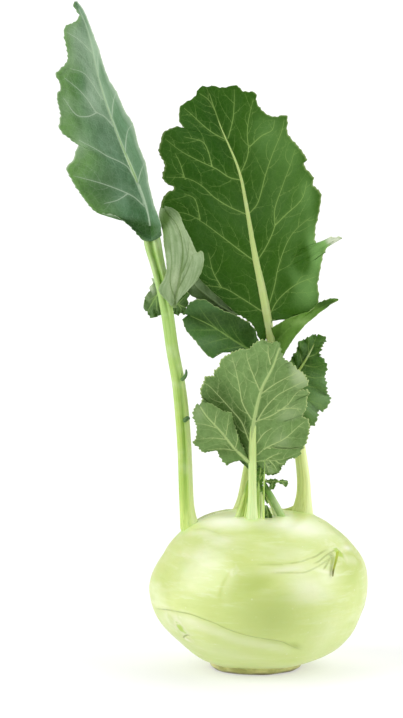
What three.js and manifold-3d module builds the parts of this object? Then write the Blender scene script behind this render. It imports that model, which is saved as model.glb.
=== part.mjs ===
// A kohlrabi with its leaves, standing on its trimmed root face.
// Millimetres, +Z up, the origin at the middle of the root face, the front towards -Y.
import * as THREE from 'three';
import { mergeVertices } from 'three/addons/utils/BufferGeometryUtils.js';
import Module from 'manifold-3d';

const wasm = await Module();
wasm.setup();

// Driving dimensions.
const BULB_HEIGHT = 66;
const ROOT_FACE_RADIUS = 17.5;
const BULB_SECTORS = 44;
const BULB_RINGS = 24;
const BLADE_THICKNESS = 0.7;
const SMALL_BLADE_THICKNESS = 0.8;
const GAP = 0.35;
const STALK_SIDES = 8;
const WELD = 1e-3;
const NORMAL_STEP = 0.02;
const WAVE_SHIFT = 2;

// The leaves are laid out on a plane that leans back by this angle. A leaf's points are
// [across, up, back]: up is measured on that plane, and back is the real depth.
const LEAN = THREE.MathUtils.degToRad(8);

// Half widths of the bulb at each height, on its left and right sides: [height, left, right].
const BULB_FLANKS = [
  [0, 17.5, 17.5], [1.5, 18.5, 19], [4.5, 22, 27], [9, 28.5, 35.5], [14, 34.5, 40], [21, 40, 43.5],
  [27, 43, 46], [33, 43.5, 47], [39, 42, 47], [46, 39, 44.5], [52, 35.5, 40.5], [57, 31, 36],
  [61, 27, 31], [64.5, 22, 25], [66, 14, 15], [66, 0, 0],
];

const place = ([across, up, back]) => new THREE.Vector3(
  across,
  back,
  (up - back * Math.sin(LEAN)) / Math.cos(LEAN),
);

// ---------------------------------------------------------------- solids

function toManifold(geometry) {
  const bare = geometry.clone();
  bare.deleteAttribute('normal');
  bare.deleteAttribute('uv');
  const merged = mergeVertices(bare, WELD);
  return new wasm.Manifold(new wasm.Mesh({
    numProp: 3,
    vertProperties: new Float32Array(merged.attributes.position.array),
    triVerts: new Uint32Array(merged.index.array),
  }));
}

function toGeometry(solid) {
  const mesh = solid.getMesh();
  const geometry = new THREE.BufferGeometry();
  geometry.setAttribute('position', new THREE.BufferAttribute(new Float32Array(mesh.vertProperties), 3));
  geometry.setIndex(new THREE.BufferAttribute(new Uint32Array(mesh.triVerts), 1));
  geometry.computeVertexNormals();
  return geometry;
}

// Moves every vertex of a geometry to the point that shape(x, y, z) gives.
function reshape(geometry, shape) {
  const position = geometry.attributes.position;
  for (let i = 0; i < position.count; i += 1) {
    const point = shape(position.getX(i), position.getY(i), position.getZ(i));
    position.setXYZ(i, point.x, point.y, point.z);
  }
  return geometry;
}

// ---------------------------------------------------------------- bulb

function bulbProfile() {
  const knots = BULB_FLANKS.slice(1, -1).map(([height, left, right]) => (
    new THREE.Vector3(left, height, right)));
  const flank = new THREE.CatmullRomCurve3(knots, false, 'centripetal').getPoints(BULB_RINGS);
  return [
    new THREE.Vector3(0, 0, 0),
    new THREE.Vector3(ROOT_FACE_RADIUS, 0, ROOT_FACE_RADIUS),
    ...flank,
    new THREE.Vector3(0, BULB_HEIGHT, 0),
  ];
}

function bulbGeometry(extra = 0) {
  const profile = bulbProfile();
  const points = profile.map(({ x, y }) => new THREE.Vector2(x, y));
  const lathe = new THREE.LatheGeometry(points, BULB_SECTORS);
  const rings = profile.length;
  const position = lathe.attributes.position;
  for (let i = 0; i < position.count; i += 1) {
    const ring = profile[i % rings];
    const turn = Math.floor(i / rings) % BULB_SECTORS;
    const angle = (turn / BULB_SECTORS) * 2 * Math.PI;
    const rightness = 0.5 + 0.5 * Math.sin(angle);
    const radius = THREE.MathUtils.lerp(ring.x, ring.z, rightness);
    const grown = radius > 0 ? radius + extra : 0;
    const height = ring.y + (ring.y > BULB_HEIGHT / 2 ? extra : -extra);
    position.setXYZ(i, grown * Math.sin(angle), -grown * Math.cos(angle), height);
  }
  return lathe;
}

// ---------------------------------------------------------------- stalks

// A tapered limb: points are [across, up, back, radius], from the foot to the far end.
function limb(points, steps, { sides = STALK_SIDES, extra = 0 } = {}) {
  const route = new THREE.CatmullRomCurve3(points.map(place), false, 'centripetal');
  const radii = new THREE.CatmullRomCurve3(
    points.map(([across, up, back, radius]) => new THREE.Vector3(across, up, radius)),
    false,
    'centripetal',
  );
  const frames = route.computeFrenetFrames(steps, false);
  const cylinder = new THREE.CylinderGeometry(1, 1, 1, sides, steps);
  return reshape(cylinder, (x, y, z) => {
    const step = Math.round((y + 0.5) * steps);
    const t = step / steps;
    const radius = radii.getPointAt(t).z + extra;
    return route.getPointAt(t)
      .addScaledVector(frames.normals[step], x * radius)
      .addScaledVector(frames.binormals[step], -z * radius);
  });
}

// ---------------------------------------------------------------- blades

// A leaf blade, as a thin closed shell over the surface between the midrib and both margins.
//   rib: [across, up, back, radius] from the base to the tip
//   left, right: [across, up] round each margin, from the base to the tip
//   faces: 1 where the upper side faces the front, -1 where the underside does
//   lift: how far each half rises towards its upper side, a mm out, as [left, right]
//   curl: how that rise changes towards the margin, as [left, right]
//   fan: above 1 spreads the base of the blade from the foot of the midrib
//   bow: how much the rows sag between the midrib and the margin
//   ruffle: [height, count] of the waves along the margin
function bladeSurface(leaf) {
  const asCurve = (points, depth) => new THREE.CatmullRomCurve3(
    points.map((point) => new THREE.Vector3(point[0], point[1], depth(point))),
    false,
    'centripetal',
  );
  const rib = asCurve(leaf.rib, (point) => point[2]);
  const ribRadius = asCurve(leaf.rib, (point) => point[3]);
  const margins = [leaf.left, leaf.right].map((points) => asCurve(points, () => 0));
  const offset = leaf.free ? 0 : GAP + leaf.thickness / 2;
  return (u, v) => {
    const side = u < 0 ? 0 : 1;
    const out = Math.abs(u);
    const t = Math.pow(v, leaf.fan);
    const root = rib.getPointAt(t);
    const edge = margins[side].getPointAt(v);
    const span = Math.hypot(edge.x - root.x, edge.y - root.y);
    const sag = leaf.bow * span * 4 * out * (1 - out) * (1 - v);
    const distance = out * span;
    const rise = distance * (leaf.lift[side] + leaf.curl[side] * distance);
    const phase = v * leaf.ruffle[1] * 2 * Math.PI + side * WAVE_SHIFT;
    const wave = leaf.ruffle[0] * out * out * Math.sin(phase);
    const clear = offset + (leaf.free ? 0 : ribRadius.getPointAt(t).z);
    return place([
      THREE.MathUtils.lerp(root.x, edge.x, out),
      THREE.MathUtils.lerp(root.y, edge.y, out) - sag,
      root.z - leaf.faces * (clear + rise + wave),
    ]);
  };
}

function bladeGeometry(leaf) {
  const surface = bladeSurface(leaf);
  const step = NORMAL_STEP;
  const box = new THREE.BoxGeometry(2, 1, 1, leaf.columns, leaf.rows, 1);
  return reshape(box, (x, y, z) => {
    const u = THREE.MathUtils.clamp(x, -1, 1);
    const v = THREE.MathUtils.clamp(y + 0.5, 0, 1);
    const across = surface(Math.min(u + step, 1), v).sub(surface(Math.max(u - step, -1), v));
    const along = surface(u, Math.min(v + step, 1)).sub(surface(u, Math.max(v - step, 0)));
    const normal = across.cross(along).normalize();
    return surface(u, v).addScaledVector(normal, Math.sign(z) * leaf.thickness / 2);
  });
}

const BLADE_DEFAULTS = {
  thickness: BLADE_THICKNESS,
  faces: 1,
  lift: [0.25, 0.25],
  curl: [0, 0],
  fan: 1.5,
  bow: 0.06,
  ruffle: [0.8, 4],
  free: false,
  rows: 14,
  columns: 8,
};

// ---------------------------------------------------------------- the leaves' measures

const LEFT_STALK = [
  [-27.5, 57, -2, 3.4], [-28.3, 61, -2, 2.9], [-29.8, 85, -1, 2.6], [-31, 103.5, 0, 2.4],
  [-34, 125.5, 0, 2.1], [-36.5, 147, 0, 2.3], [-38, 153.5, 0, 2.4], [-41, 168, 0, 3],
  [-43, 180, 1, 3], [-44.5, 191, 3, 1.8], [-49.5, 204, 5, 1.5], [-58, 224.5, 8, 1.2],
  [-65.5, 246.5, 10, 0.9], [-70.5, 268, 11, 0.6],
];
const LEFT_BLADE = {
  ...BLADE_DEFAULTS,
  rib: [[-43, 182, 2, 2.6], [-44.5, 191, 3, 1.9], [-49.5, 204, 5, 1.6], [-58, 224.5, 8, 1.3],
    [-65.5, 246.5, 10, 1], [-70.5, 268, 11, 0.7], [-75, 280, 10, 0.4]],
  left: [[-46.5, 181], [-53, 185], [-64, 191], [-72.5, 198], [-79.5, 210.5], [-75, 219], [-82.5, 228],
    [-83, 241], [-84, 249], [-80, 255], [-80.5, 267], [-75, 273], [-76, 280]],
  right: [[-40.5, 183.5], [-42, 195.5], [-45, 208], [-51, 229], [-62, 251], [-69.5, 271.5], [-74, 280]],
  lift: [0.1, 0.75],
  curl: [-0.004, 0.02],
  rows: 18,
};
const LEFT_CURLED_LOBE = {
  ...BLADE_DEFAULTS,
  rib: [[-34, 153, -5, 0], [-32.5, 161.5, -7, 0], [-32, 170, -8, 0], [-33, 179, -8, 0], [-36, 191, -7, 0]],
  left: [[-35, 153], [-39, 156], [-40, 160], [-38, 168], [-38.5, 178.5], [-39.5, 186], [-39.5, 193]],
  right: [[-32.5, 153.5], [-27.5, 160], [-23, 167], [-22.3, 174], [-26.5, 178], [-30, 185], [-34, 193]],
  faces: -1,
  free: true,
  fan: 1.1,
  lift: [0.2, 0.45],
  curl: [0, 0.02],
  rows: 10,
};
const LEFT_BACK_LOBES = {
  left: {
    ...BLADE_DEFAULTS,
    rib: [[-40.5, 158, 4, 0], [-43, 155, 5, 0], [-45.5, 150.5, 6, 0]],
    left: [[-40.5, 162], [-44, 162.5], [-47, 156], [-46.5, 150.5]],
    right: [[-40.5, 154], [-40.5, 149], [-43.5, 148], [-45.5, 149.5]],
  },
  right: {
    ...BLADE_DEFAULTS,
    rib: [[-34, 154, 3, 0], [-32, 153, 3, 0], [-29.5, 152, 3, 0]],
    left: [[-34, 157.5], [-31, 158.5], [-28.5, 156], [-28.5, 153]],
    right: [[-34, 151], [-33, 149.5], [-30.5, 149.5], [-29, 151.5]],
    faces: -1,
  },
};

const BIG_STALK = [
  [19, 59, 8, 4.2], [20.5, 69, 8, 2.8], [20, 80, 9, 2.5], [19.5, 88, 9, 2.3], [17, 103, 8, 2.1],
  [12, 119.5, 8, 1.9], [7, 134.5, 9, 1.7], [5, 147, 11, 1.5], [1.5, 164, 15, 1.3], [0, 172, 17, 1.3],
  [-4, 195.5, 23, 1.1], [-7, 210, 26, 0.9], [-14.5, 228, 30, 0.7], [-20, 240, 33, 0.5],
];
const BIG_BLADE = {
  ...BLADE_DEFAULTS,
  rib: [[6, 140.5, 10, 1.6], [5, 147, 11, 1.5], [1.5, 164, 15, 1.3], [0, 172, 17, 1.3],
    [-4, 195.5, 23, 1.1], [-7, 210.5, 26, 0.9], [-14.5, 229, 30, 0.7], [-20.5, 245.5, 34, 0.4]],
  left: [[4.5, 139], [0, 139.5], [-2.5, 145], [-8.5, 149], [-22.5, 155], [-31, 162], [-37, 178.5],
    [-40, 195.5], [-36, 202], [-40, 207], [-39, 226], [-32, 228], [-32, 237.5], [-22.5, 246]],
  right: [[7, 142], [8, 147.5], [20.5, 150], [26.5, 156], [27.5, 169.5], [33, 180], [26, 182],
    [28, 200], [20.5, 213], [13.5, 226], [12, 233], [1, 238], [-5.5, 244.5], [-18.5, 246]],
  lift: [0.3, 0.3],
  curl: [-0.004, -0.004],
  fan: 1.45,
  rows: 20,
  columns: 10,
};
const BIG_LEFT_LOBE = {
  ...BLADE_DEFAULTS,
  rib: [[3, 131, 6.5, 0], [-2, 134, 4, 0], [-8, 137.5, 2.5, 0], [-19, 146, 1.5, 0], [-27, 148.5, 2, 0]],
  left: [[3, 134], [-1, 140.5], [-5, 146], [-13, 151], [-22.5, 155.5], [-27.5, 154], [-29.8, 150]],
  right: [[1, 128.5], [-4, 131], [-12, 133.5], [-18.5, 131], [-25, 137], [-30, 144], [-30, 147]],
  free: true,
  fan: 1.2,
  lift: [0.1, 0.1],
  rows: 12,
};
const BIG_RIGHT_LOBE = {
  ...BLADE_DEFAULTS,
  rib: [[9.5, 141, 5, 0], [16, 146, 2, 0], [24, 151, 0, 0], [34, 155, 0, 0]],
  left: [[9.3, 143.5], [11.5, 145.5], [18, 149], [26.5, 154], [34, 155.5]],
  right: [[9.7, 136], [12, 132], [14.5, 137], [24, 147.5], [29.5, 152], [34.3, 155]],
  free: true,
  fan: 1,
  lift: [0.2, 0.2],
  rows: 10,
};

const RIGHT_STALK = [
  [-7.5, 64, 15, 3.2], [-7, 71.5, 15, 2.3], [-5.6, 78, 16, 2], [-3.6, 88, 17, 1.8], [0, 96.5, 18, 1.5],
  [6, 107, 19, 1.3], [12.5, 117, 20, 1.1], [17, 123.5, 21, 0.9], [22, 131, 23, 0.6], [25, 136, 24, 0.4],
];
const RIGHT_BLADE = {
  ...BLADE_DEFAULTS,
  rib: [[12.5, 117, 20, 1.1], [17, 123.5, 21, 0.9], [22, 131, 23, 0.6], [25.5, 139, 25, 0.4]],
  left: [[12.5, 113], [12.5, 119], [13.5, 127], [17, 134], [19, 138.5], [24.5, 140.5]],
  right: [[15, 110], [20, 103.5], [24.5, 102], [27.5, 109], [31.5, 112.5], [30, 122], [30, 128],
    [28.5, 132.5], [29.5, 138], [26.5, 140.5]],
  lift: [0.1, 0.1],
  ruffle: [0.9, 5],
  rows: 16,
};

const FRONT_STALK = [
  [-1.7, 56, -9, 3.4], [-1.7, 63, -9, 2.4], [-1.5, 72, -9.5, 1.8], [-1.5, 92, -11, 1.5],
  [-1.3, 101, -12, 1.2],
  [0, 109, -13, 0.8], [2.5, 118.5, -14.5, 0.6], [7, 127.5, -16, 0.5], [10, 131.5, -16.5, 0.4],
];
const FRONT_BLADE = {
  ...BLADE_DEFAULTS,
  rib: [[-1.5, 83.5, -10.3, 1.6], [-1.5, 92, -11, 1.5], [-1.3, 101, -12, 1.2], [0, 109, -13, 0.9],
    [2.5, 118.5, -14.5, 0.7], [7, 127.5, -16, 0.5], [10, 135, -17, 0.4]],
  left: [[-3.5, 84], [-10, 89], [-19, 97], [-24, 107], [-23.5, 117], [-18, 124], [-14.5, 130], [-2.5, 135],
    [1, 138], [8, 137.5]],
  right: [[0.3, 83], [4, 82], [9, 83.5], [11, 88], [18, 90], [22, 100], [20, 106], [22, 114], [19.5, 118],
    [21, 121.5], [15, 128], [12, 131], [10.5, 137]],
  faces: -1,
  lift: [0.12, 0.15],
  curl: [0.002, 0.002],
  rows: 16,
};
const FRONT_FLAP = {
  ...BLADE_DEFAULTS,
  rib: [[-5, 89, -12, 0], [-8.5, 93, -13.5, 0], [-15, 100.5, -16, 0], [-20.5, 106.5, -17.5, 0],
    [-24, 111.5, -18, 0]],
  left: [[-5.3, 88], [-12, 86.5], [-17, 91], [-25.5, 94], [-25, 102], [-26, 108], [-24.5, 112]],
  right: [[-4.8, 90.5], [-6.5, 97], [-10, 107], [-16, 110], [-23, 112]],
  faces: -1,
  free: true,
  fan: 1.1,
  lift: [0.05, 0.1],
  rows: 11,
};

const YOUNG_STALK = [[10.5, 62, -4, 1.3], [9.5, 68, -4, 1], [6.5, 75, -3.5, 0.8], [4.2, 80, -3, 0.6]];
const YOUNG_BLADE = {
  ...BLADE_DEFAULTS,
  thickness: SMALL_BLADE_THICKNESS,
  rib: [[5.5, 79.5, -4.5, 0], [8.5, 79.5, -5, 0], [14, 80, -5, 0]],
  left: [[5.5, 80.5], [7, 83], [10.5, 81.5], [14, 81]],
  right: [[5.5, 78.5], [8, 77], [11, 78], [14, 79.3]],
  free: true,
  fan: 1,
  ruffle: [0.8, 2],
  rows: 5,
  columns: 4,
};
const INNER_STALK = [[3.5, 62, 3, 1.5], [3.5, 70, 3, 1.1], [3, 78, 2, 0.9], [3.5, 88, 1, 0.6]];
const INNER_BLADE = {
  ...BLADE_DEFAULTS,
  thickness: SMALL_BLADE_THICKNESS,
  rib: [[5, 83, -1.5, 0], [7.5, 84.5, -2, 0], [11, 86, -2, 0]],
  left: [[5, 84.5], [6, 88], [9, 89], [11, 87]],
  right: [[5, 81.8], [8, 81], [10.5, 82.5], [11.5, 85]],
  free: true,
  fan: 1,
  ruffle: [0.5, 2],
  rows: 5,
  columns: 4,
};
const SCAR_STUB = [[33.6, 50, -23.5, 0.8], [32.9, 45.5, -28.5, 0.8], [31.6, 41, -32.5, 0.6]];
const PALE_BUD = [[8.3, 61, -0.5, 1.2], [7, 67.5, 0, 0.9], [4.5, 72.5, 0.5, 0.6], [2.8, 76.5, -1.5, 0.4]];
const STUB = [[-5.5, 60, 1, 2.2], [-5.3, 68, 0.5, 1.6], [-5, 73.5, 0, 1.3]];
const NUBS = {
  upper: [
    [-30.4, 124.5, -0.5, 0.7], [-29, 125.3, -1, 0.6], [-28, 123.6, -1.3, 0.5],
    [-28.5, 121.4, -1, 0.3],
  ],
  lower: [[-28.4, 106.3, -0.5, 0.6], [-27.2, 104.6, -1, 0.5], [-27.6, 102.6, -1, 0.3]],
};

// ---------------------------------------------------------------- assembly

const kohlrabi = new THREE.Group();

function finish(color, roughness) {
  return new THREE.MeshStandardMaterial({ color, roughness, metalness: 0 });
}

function add(name, geometry, material) {
  const mesh = new THREE.Mesh(geometry, material);
  mesh.name = name;
  kohlrabi.add(mesh);
}

const skin = () => finish(0xd3e096, 0.42);
const paleStalk = () => finish(0xc4dc8c, 0.45);
const upperSide = () => finish(0x3f6b2c, 0.5);
const underside = () => finish(0x8fa878, 0.6);

const bulb = toManifold(bulbGeometry());
const bulbKeepOut = toManifold(bulbGeometry(GAP));
add('bulb', toGeometry(bulb), skin());

// A limb cut off where it meets the bulb and whatever else it stands against.
function trimmedLimb(points, steps, cutters = [], options = {}) {
  let solid = toManifold(limb(points, steps, options));
  for (const cutter of [bulbKeepOut, ...cutters]) {
    solid = solid.subtract(cutter);
  }
  return toGeometry(solid);
}

function trimmedBlade(leaf, cutters) {
  let solid = toManifold(bladeGeometry(leaf));
  for (const cutter of cutters) {
    solid = solid.subtract(cutter);
  }
  return toGeometry(solid);
}

const keepOut = (points, steps) => toManifold(limb(points, steps, { extra: GAP }));

// The tall left leaf.
const leftKeepOut = keepOut(LEFT_STALK, 26);
add('left_leaf_stalk', trimmedLimb(LEFT_STALK, 26), paleStalk());
add('left_leaf_blade', trimmedBlade(LEFT_BLADE, [leftKeepOut]), upperSide());
add('left_leaf_curled_lobe', trimmedBlade(LEFT_CURLED_LOBE, [leftKeepOut]), underside());
for (const [side, lobe] of Object.entries(LEFT_BACK_LOBES)) {
  const small = { ...lobe, free: true, fan: 1, rows: 5, columns: 4 };
  add(`left_leaf_back_lobe_${side}`, trimmedBlade(small, [leftKeepOut]), upperSide());
}
for (const [level, points] of Object.entries(NUBS)) {
  add(`left_stalk_${level}_nub`, trimmedLimb(points, 4, [leftKeepOut], { sides: 6 }), upperSide());
}

// The large middle leaf.
const bigKeepOut = keepOut(BIG_STALK, 26);
add('big_leaf_stalk', trimmedLimb(BIG_STALK, 26), paleStalk());
add('big_leaf_blade', trimmedBlade(BIG_BLADE, [bigKeepOut]), upperSide());
add('big_leaf_left_lobe', trimmedBlade(BIG_LEFT_LOBE, [bigKeepOut]), upperSide());
add('big_leaf_right_lobe', trimmedBlade(BIG_RIGHT_LOBE, [bigKeepOut]), upperSide());

// The small dark leaf on the right.
const rightKeepOut = keepOut(RIGHT_STALK, 16);
add('right_leaf_stalk', trimmedLimb(RIGHT_STALK, 16), paleStalk());
add('right_leaf_blade', trimmedBlade(RIGHT_BLADE, [rightKeepOut]), upperSide());

// The front leaf, with its underside to the front.
const frontKeepOut = keepOut(FRONT_STALK, 18);
add('front_leaf_stalk', trimmedLimb(FRONT_STALK, 18), paleStalk());
add('front_leaf_blade', trimmedBlade(FRONT_BLADE, [frontKeepOut]), underside());
add('front_leaf_flap', trimmedBlade(FRONT_FLAP, [frontKeepOut]), underside());

// The crown: young leaves, a bud and the stub of a cut stalk.
const youngKeepOut = keepOut(YOUNG_STALK, 6);
const innerKeepOut = keepOut(INNER_STALK, 6);
add('young_leaf_stalk', trimmedLimb(YOUNG_STALK, 6), paleStalk());
add('young_leaf_blade', trimmedBlade(YOUNG_BLADE, [youngKeepOut]), upperSide());
add('inner_leaf_stalk', trimmedLimb(INNER_STALK, 6), paleStalk());
add('inner_leaf_blade', trimmedBlade(INNER_BLADE, [innerKeepOut]), upperSide());
add('pale_bud', trimmedLimb(PALE_BUD, 6), skin());
add('stub_stalk', trimmedLimb(STUB, 4), skin());
add('scar_stub', trimmedLimb(SCAR_STUB, 4, [], { sides: 6 }), paleStalk());

export default kohlrabi;
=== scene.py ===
# A kohlrabi standing on its trimmed root face, with its leaves.
# Metres, +Z up. The measures below are in millimetres and are turned into metres as pieces are made.
import math

import bpy
import numpy as np
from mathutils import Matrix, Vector, noise
from mathutils.kdtree import KDTree


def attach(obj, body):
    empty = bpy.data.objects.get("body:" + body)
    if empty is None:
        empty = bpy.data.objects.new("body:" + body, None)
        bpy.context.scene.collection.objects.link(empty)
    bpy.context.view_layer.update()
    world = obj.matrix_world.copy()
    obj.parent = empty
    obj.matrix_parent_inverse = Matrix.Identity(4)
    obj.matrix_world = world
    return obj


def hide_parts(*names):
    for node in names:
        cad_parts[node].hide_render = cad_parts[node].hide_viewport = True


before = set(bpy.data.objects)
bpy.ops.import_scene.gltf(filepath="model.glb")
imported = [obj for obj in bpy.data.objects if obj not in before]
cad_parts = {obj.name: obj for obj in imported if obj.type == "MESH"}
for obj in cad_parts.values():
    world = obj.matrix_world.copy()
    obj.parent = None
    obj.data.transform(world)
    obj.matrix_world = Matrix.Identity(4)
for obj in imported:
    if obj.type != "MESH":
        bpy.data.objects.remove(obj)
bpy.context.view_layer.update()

MM = 0.001

# The leaves are laid out on a plane that leans back by this angle. A leaf's points are
# (across, up, back): up is measured on that plane, and back is the real depth.
LEAN = math.radians(8)

# ------------------------------------------------------------------ measures

ROOT_FACE_RADIUS = 17.5
BULB_SIDES = 52

# Rings of the bulb from the root rim to the crown: (height, left half width, right half width).
BULB_RINGS = [
    (0.7, 18.6, 19), (1.9, 19.4, 19.4), (2.8, 19.2, 19.6), (3.6, 20.8, 24), (5, 23.8, 28.4), (7, 27, 32),
    (10, 30.5, 36.2), (14, 35.6, 40.2), (18, 39.4, 42.4), (22.5, 42.4, 44.6), (27, 44.2, 46.2),
    (32, 45, 47.2), (37, 44.8, 47.4), (42, 43, 46.8), (46.5, 40.6, 45.4), (51, 37.8, 42.4),
    (55, 34.8, 38.8), (58.5, 31.4, 34.6), (61.5, 27.6, 30.6), (64, 22.6, 25.6), (65.4, 17.5, 19),
    (66, 12, 13),
]

# Leaf scars, lines along the skin: the height of the lip, the width and the strength of the pale band
# below it, how dark its line is at its two ends (olive scar tissue, and painted shadow under the lip), and
# its points. A negative band lies above the line.
# On the front the points are (across, up); round the rest they are (degrees to the right, height).
FRONT_SCARS = [
    (0.5, 4, 0.45, (0.6, 0.95), [
        (-42.8, 25.5), (-37, 25.6), (-32, 24.8), (-27, 23.9), (-22.7, 22.3), (-18, 20.6), (-14.3, 18.9),
        (-10, 17.2), (-5.5, 15.9), (0, 14.7), (5, 13.9), (11, 12.6), (13.5, 11.3), (20.5, 8.4)]),
    (0.12, 3, 0.1, (0, 0.05), [
        (-16, 27), (-15.5, 31), (-14, 37), (-10.7, 42.4), (-6, 44.6), (3.4, 45.2), (11, 45.3),
        (15, 45.6)]),
    (0.2, 3, 0.15, (0.2, 1), [
        (-2, 45), (3.4, 45.2), (11, 45.3), (18.5, 46.2), (21.8, 47.3), (24.8, 48.3), (27.7, 50),
        (31, 51.5)]),
    (0.15, 2, 0, (0.3, 0.6), [
        (5, 41.4), (9, 41.8), (14.3, 41.8), (19.7, 41.8), (24.8, 43.7), (29, 46.2), (32.5, 49)]),
    (0.15, 3, 0.5, (0.1, 0.1), [
        (36, 49), (39, 48.6), (41.5, 47.5), (43.5, 45)]),
    (0.15, 1, 0, (0.9, 0.9), [
        (32, 49.4), (30.6, 46.8), (29.3, 44.6), (27.6, 42.4)]),
    (0.15, 1, 0, (1, 0.6), [
        (33, 50.6), (29, 48.4), (26, 46.2), (23, 45)]),
    (0.2, 1, 0, (1, 1), [
        (-30.5, 13.5), (-29.7, 14.8), (-28.3, 15.1), (-27.2, 14.2)]),
    (0.25, 2.5, 0.5, (0.1, 0.25), [
        (-28, 59.3), (-25.5, 59), (-22, 59.4), (-18, 58.2), (-13, 56.9), (-7, 56)]),
]
ROUND_SCARS = [
    # The first three lines run along the crown's back-left rim, where their dark lines paint its shade; the
    # second and third have no lip and no band and are only painted shade.
    (-0.5, -2, 0.9, (1, 1), [
        (-145, 65.6), (-132, 65.4), (-120, 65), (-107, 64.4), (-95, 63.4), (-84, 62.2), (-76, 61)]),
    (0, 1, 0, (1, 1), [
        (-140, 65.4), (-127, 65.1), (-115, 64.6), (-104, 63.9), (-95, 62.9)]),
    (0, 1, 0, (1, 1), [
        (-140, 65.75), (-127, 65.6), (-115, 65.3), (-104, 64.7), (-95, 63.9)]),
    (0.4, 5, 0.9, (0.6, 0.8), [
        (118, 38), (135, 43), (155, 46.5), (176, 46), (198, 42), (214, 35)]),
    (0.4, 5, 0.9, (0.7, 0.5), [
        (205, 22), (220, 26.5), (238, 28), (256, 25), (270, 19)]),
    (0.35, 4, 0.8, (0.4, 0.7), [
        (82, 24), (98, 28.5), (116, 30), (136, 27), (152, 20)]),
    (0.35, 3, 0.8, (0.5, 0.6), [
        (128, 11), (150, 13.5), (172, 13.5), (195, 10.5)]),
    (0.3, 3, 0.8, (0.5, 0.5), [
        (222, 52), (240, 54), (258, 52.5), (272, 48)]),
]

# Buds and leaf bases left on the bulb: place, half sizes, tilt in degrees, rise, and how green.
FRONT_BUDS = [
    ((34.4, 49.2), (2.2, 1.7), -30, 0.6, 1), ((-35.4, 21.6), (2.7, 2.1), -40, 0.3, 0.35),
    ((-31.7, 18.1), (2.3, 1.5), -38, 0.4, 0.75), ((-28.9, 14.2), (1.5, 1), -15, 0.4, 0.2),
    ((-9.5, 42), (1, 0.7), 60, 0.2, 0.1), ((27.3, 61.6), (0.4, 0.3), 0, 0.1, 1.4),
]
ROUND_BUDS = [
    ((172, 43.5), (3.2, 1.8), 4, 0.5, 0.5), ((240, 25), (3.4, 1.7), -3, 0.45, 0.35),
    ((118, 27.5), (3, 1.5), 5, 0.45, 0.4), ((160, 11.5), (2.6, 1.2), 0, 0.35, 0.2),
    ((248, 51), (2.4, 1.3), -4, 0.4, 0.5),
]

# Wide soft patches of the skin: place, half sizes, tilt, how whitish and how green. The whitish ones are
# wax bloom, except at the left and right of the front, on the eyes and low on the front, where they are
# painted highlights and painted light. The green ones are the skin's own, except in the middle of the front
# and along the right end of the lowest scar, where they are painted shade.
FRONT_PATCHES = [
    ((6, 24), (17, 12), 0, 0, 0.95), ((-1, 37), (10, 5.5), 12, 0, 0.8),
    ((7.5, 13), (9, 2.2), -12, 0, 0.7), ((22, 35.5), (9, 5.5), -14, 0.75, 0),
    ((29, 39), (8, 4), 20, 0.5, 0), ((13, 50.5), (15, 3.6), 4, 0.1, 0.15),
    ((14, 43.4), (8, 1.3), 3, 0.8, 0), ((18, 60), (14, 3.4), -8, 1.1, 0),
    ((-13, 62), (12, 2.2), 6, 1.0, 0), ((38.5, 51), (4.5, 1), -6, 1.2, 0),
    ((29, 41.8), (6, 1.1), -16, 0.9, 0), ((-29, 13), (1.7, 0.9), -20, 1.3, 0),
    ((-27.5, 20.8), (7, 2.2), -16, 0.4, 0), ((-31, 57.5), (4, 3), -30, 0.6, 0),
    ((-24, 45), (11, 9), 40, 0.5, 0), ((-13, 8), (15, 4), -12, 0.35, 0), ((29, 15), (9, 8), 30, 0.35, 0),
    ((-33, 19), (5, 4.5), -40, 0, 0.7), ((16, 11), (4, 1.6), -20, 0, 1.1),
]
ROUND_PATCHES = [
    ((160, 26), (17, 10), 6, 0, 0.7), ((232, 39), (15, 8), -8, 0, 0.6), ((88, 14), (12, 6), 8, 0, 0.5),
    ((188, 53), (14, 4), -4, 0.7, 0), ((112, 50), (12, 5), 8, 0.6, 0), ((262, 33), (7, 6), 10, 0.5, 0),
    ((200, 33), (8, 4), -14, 0.6, 0),
]

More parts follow.
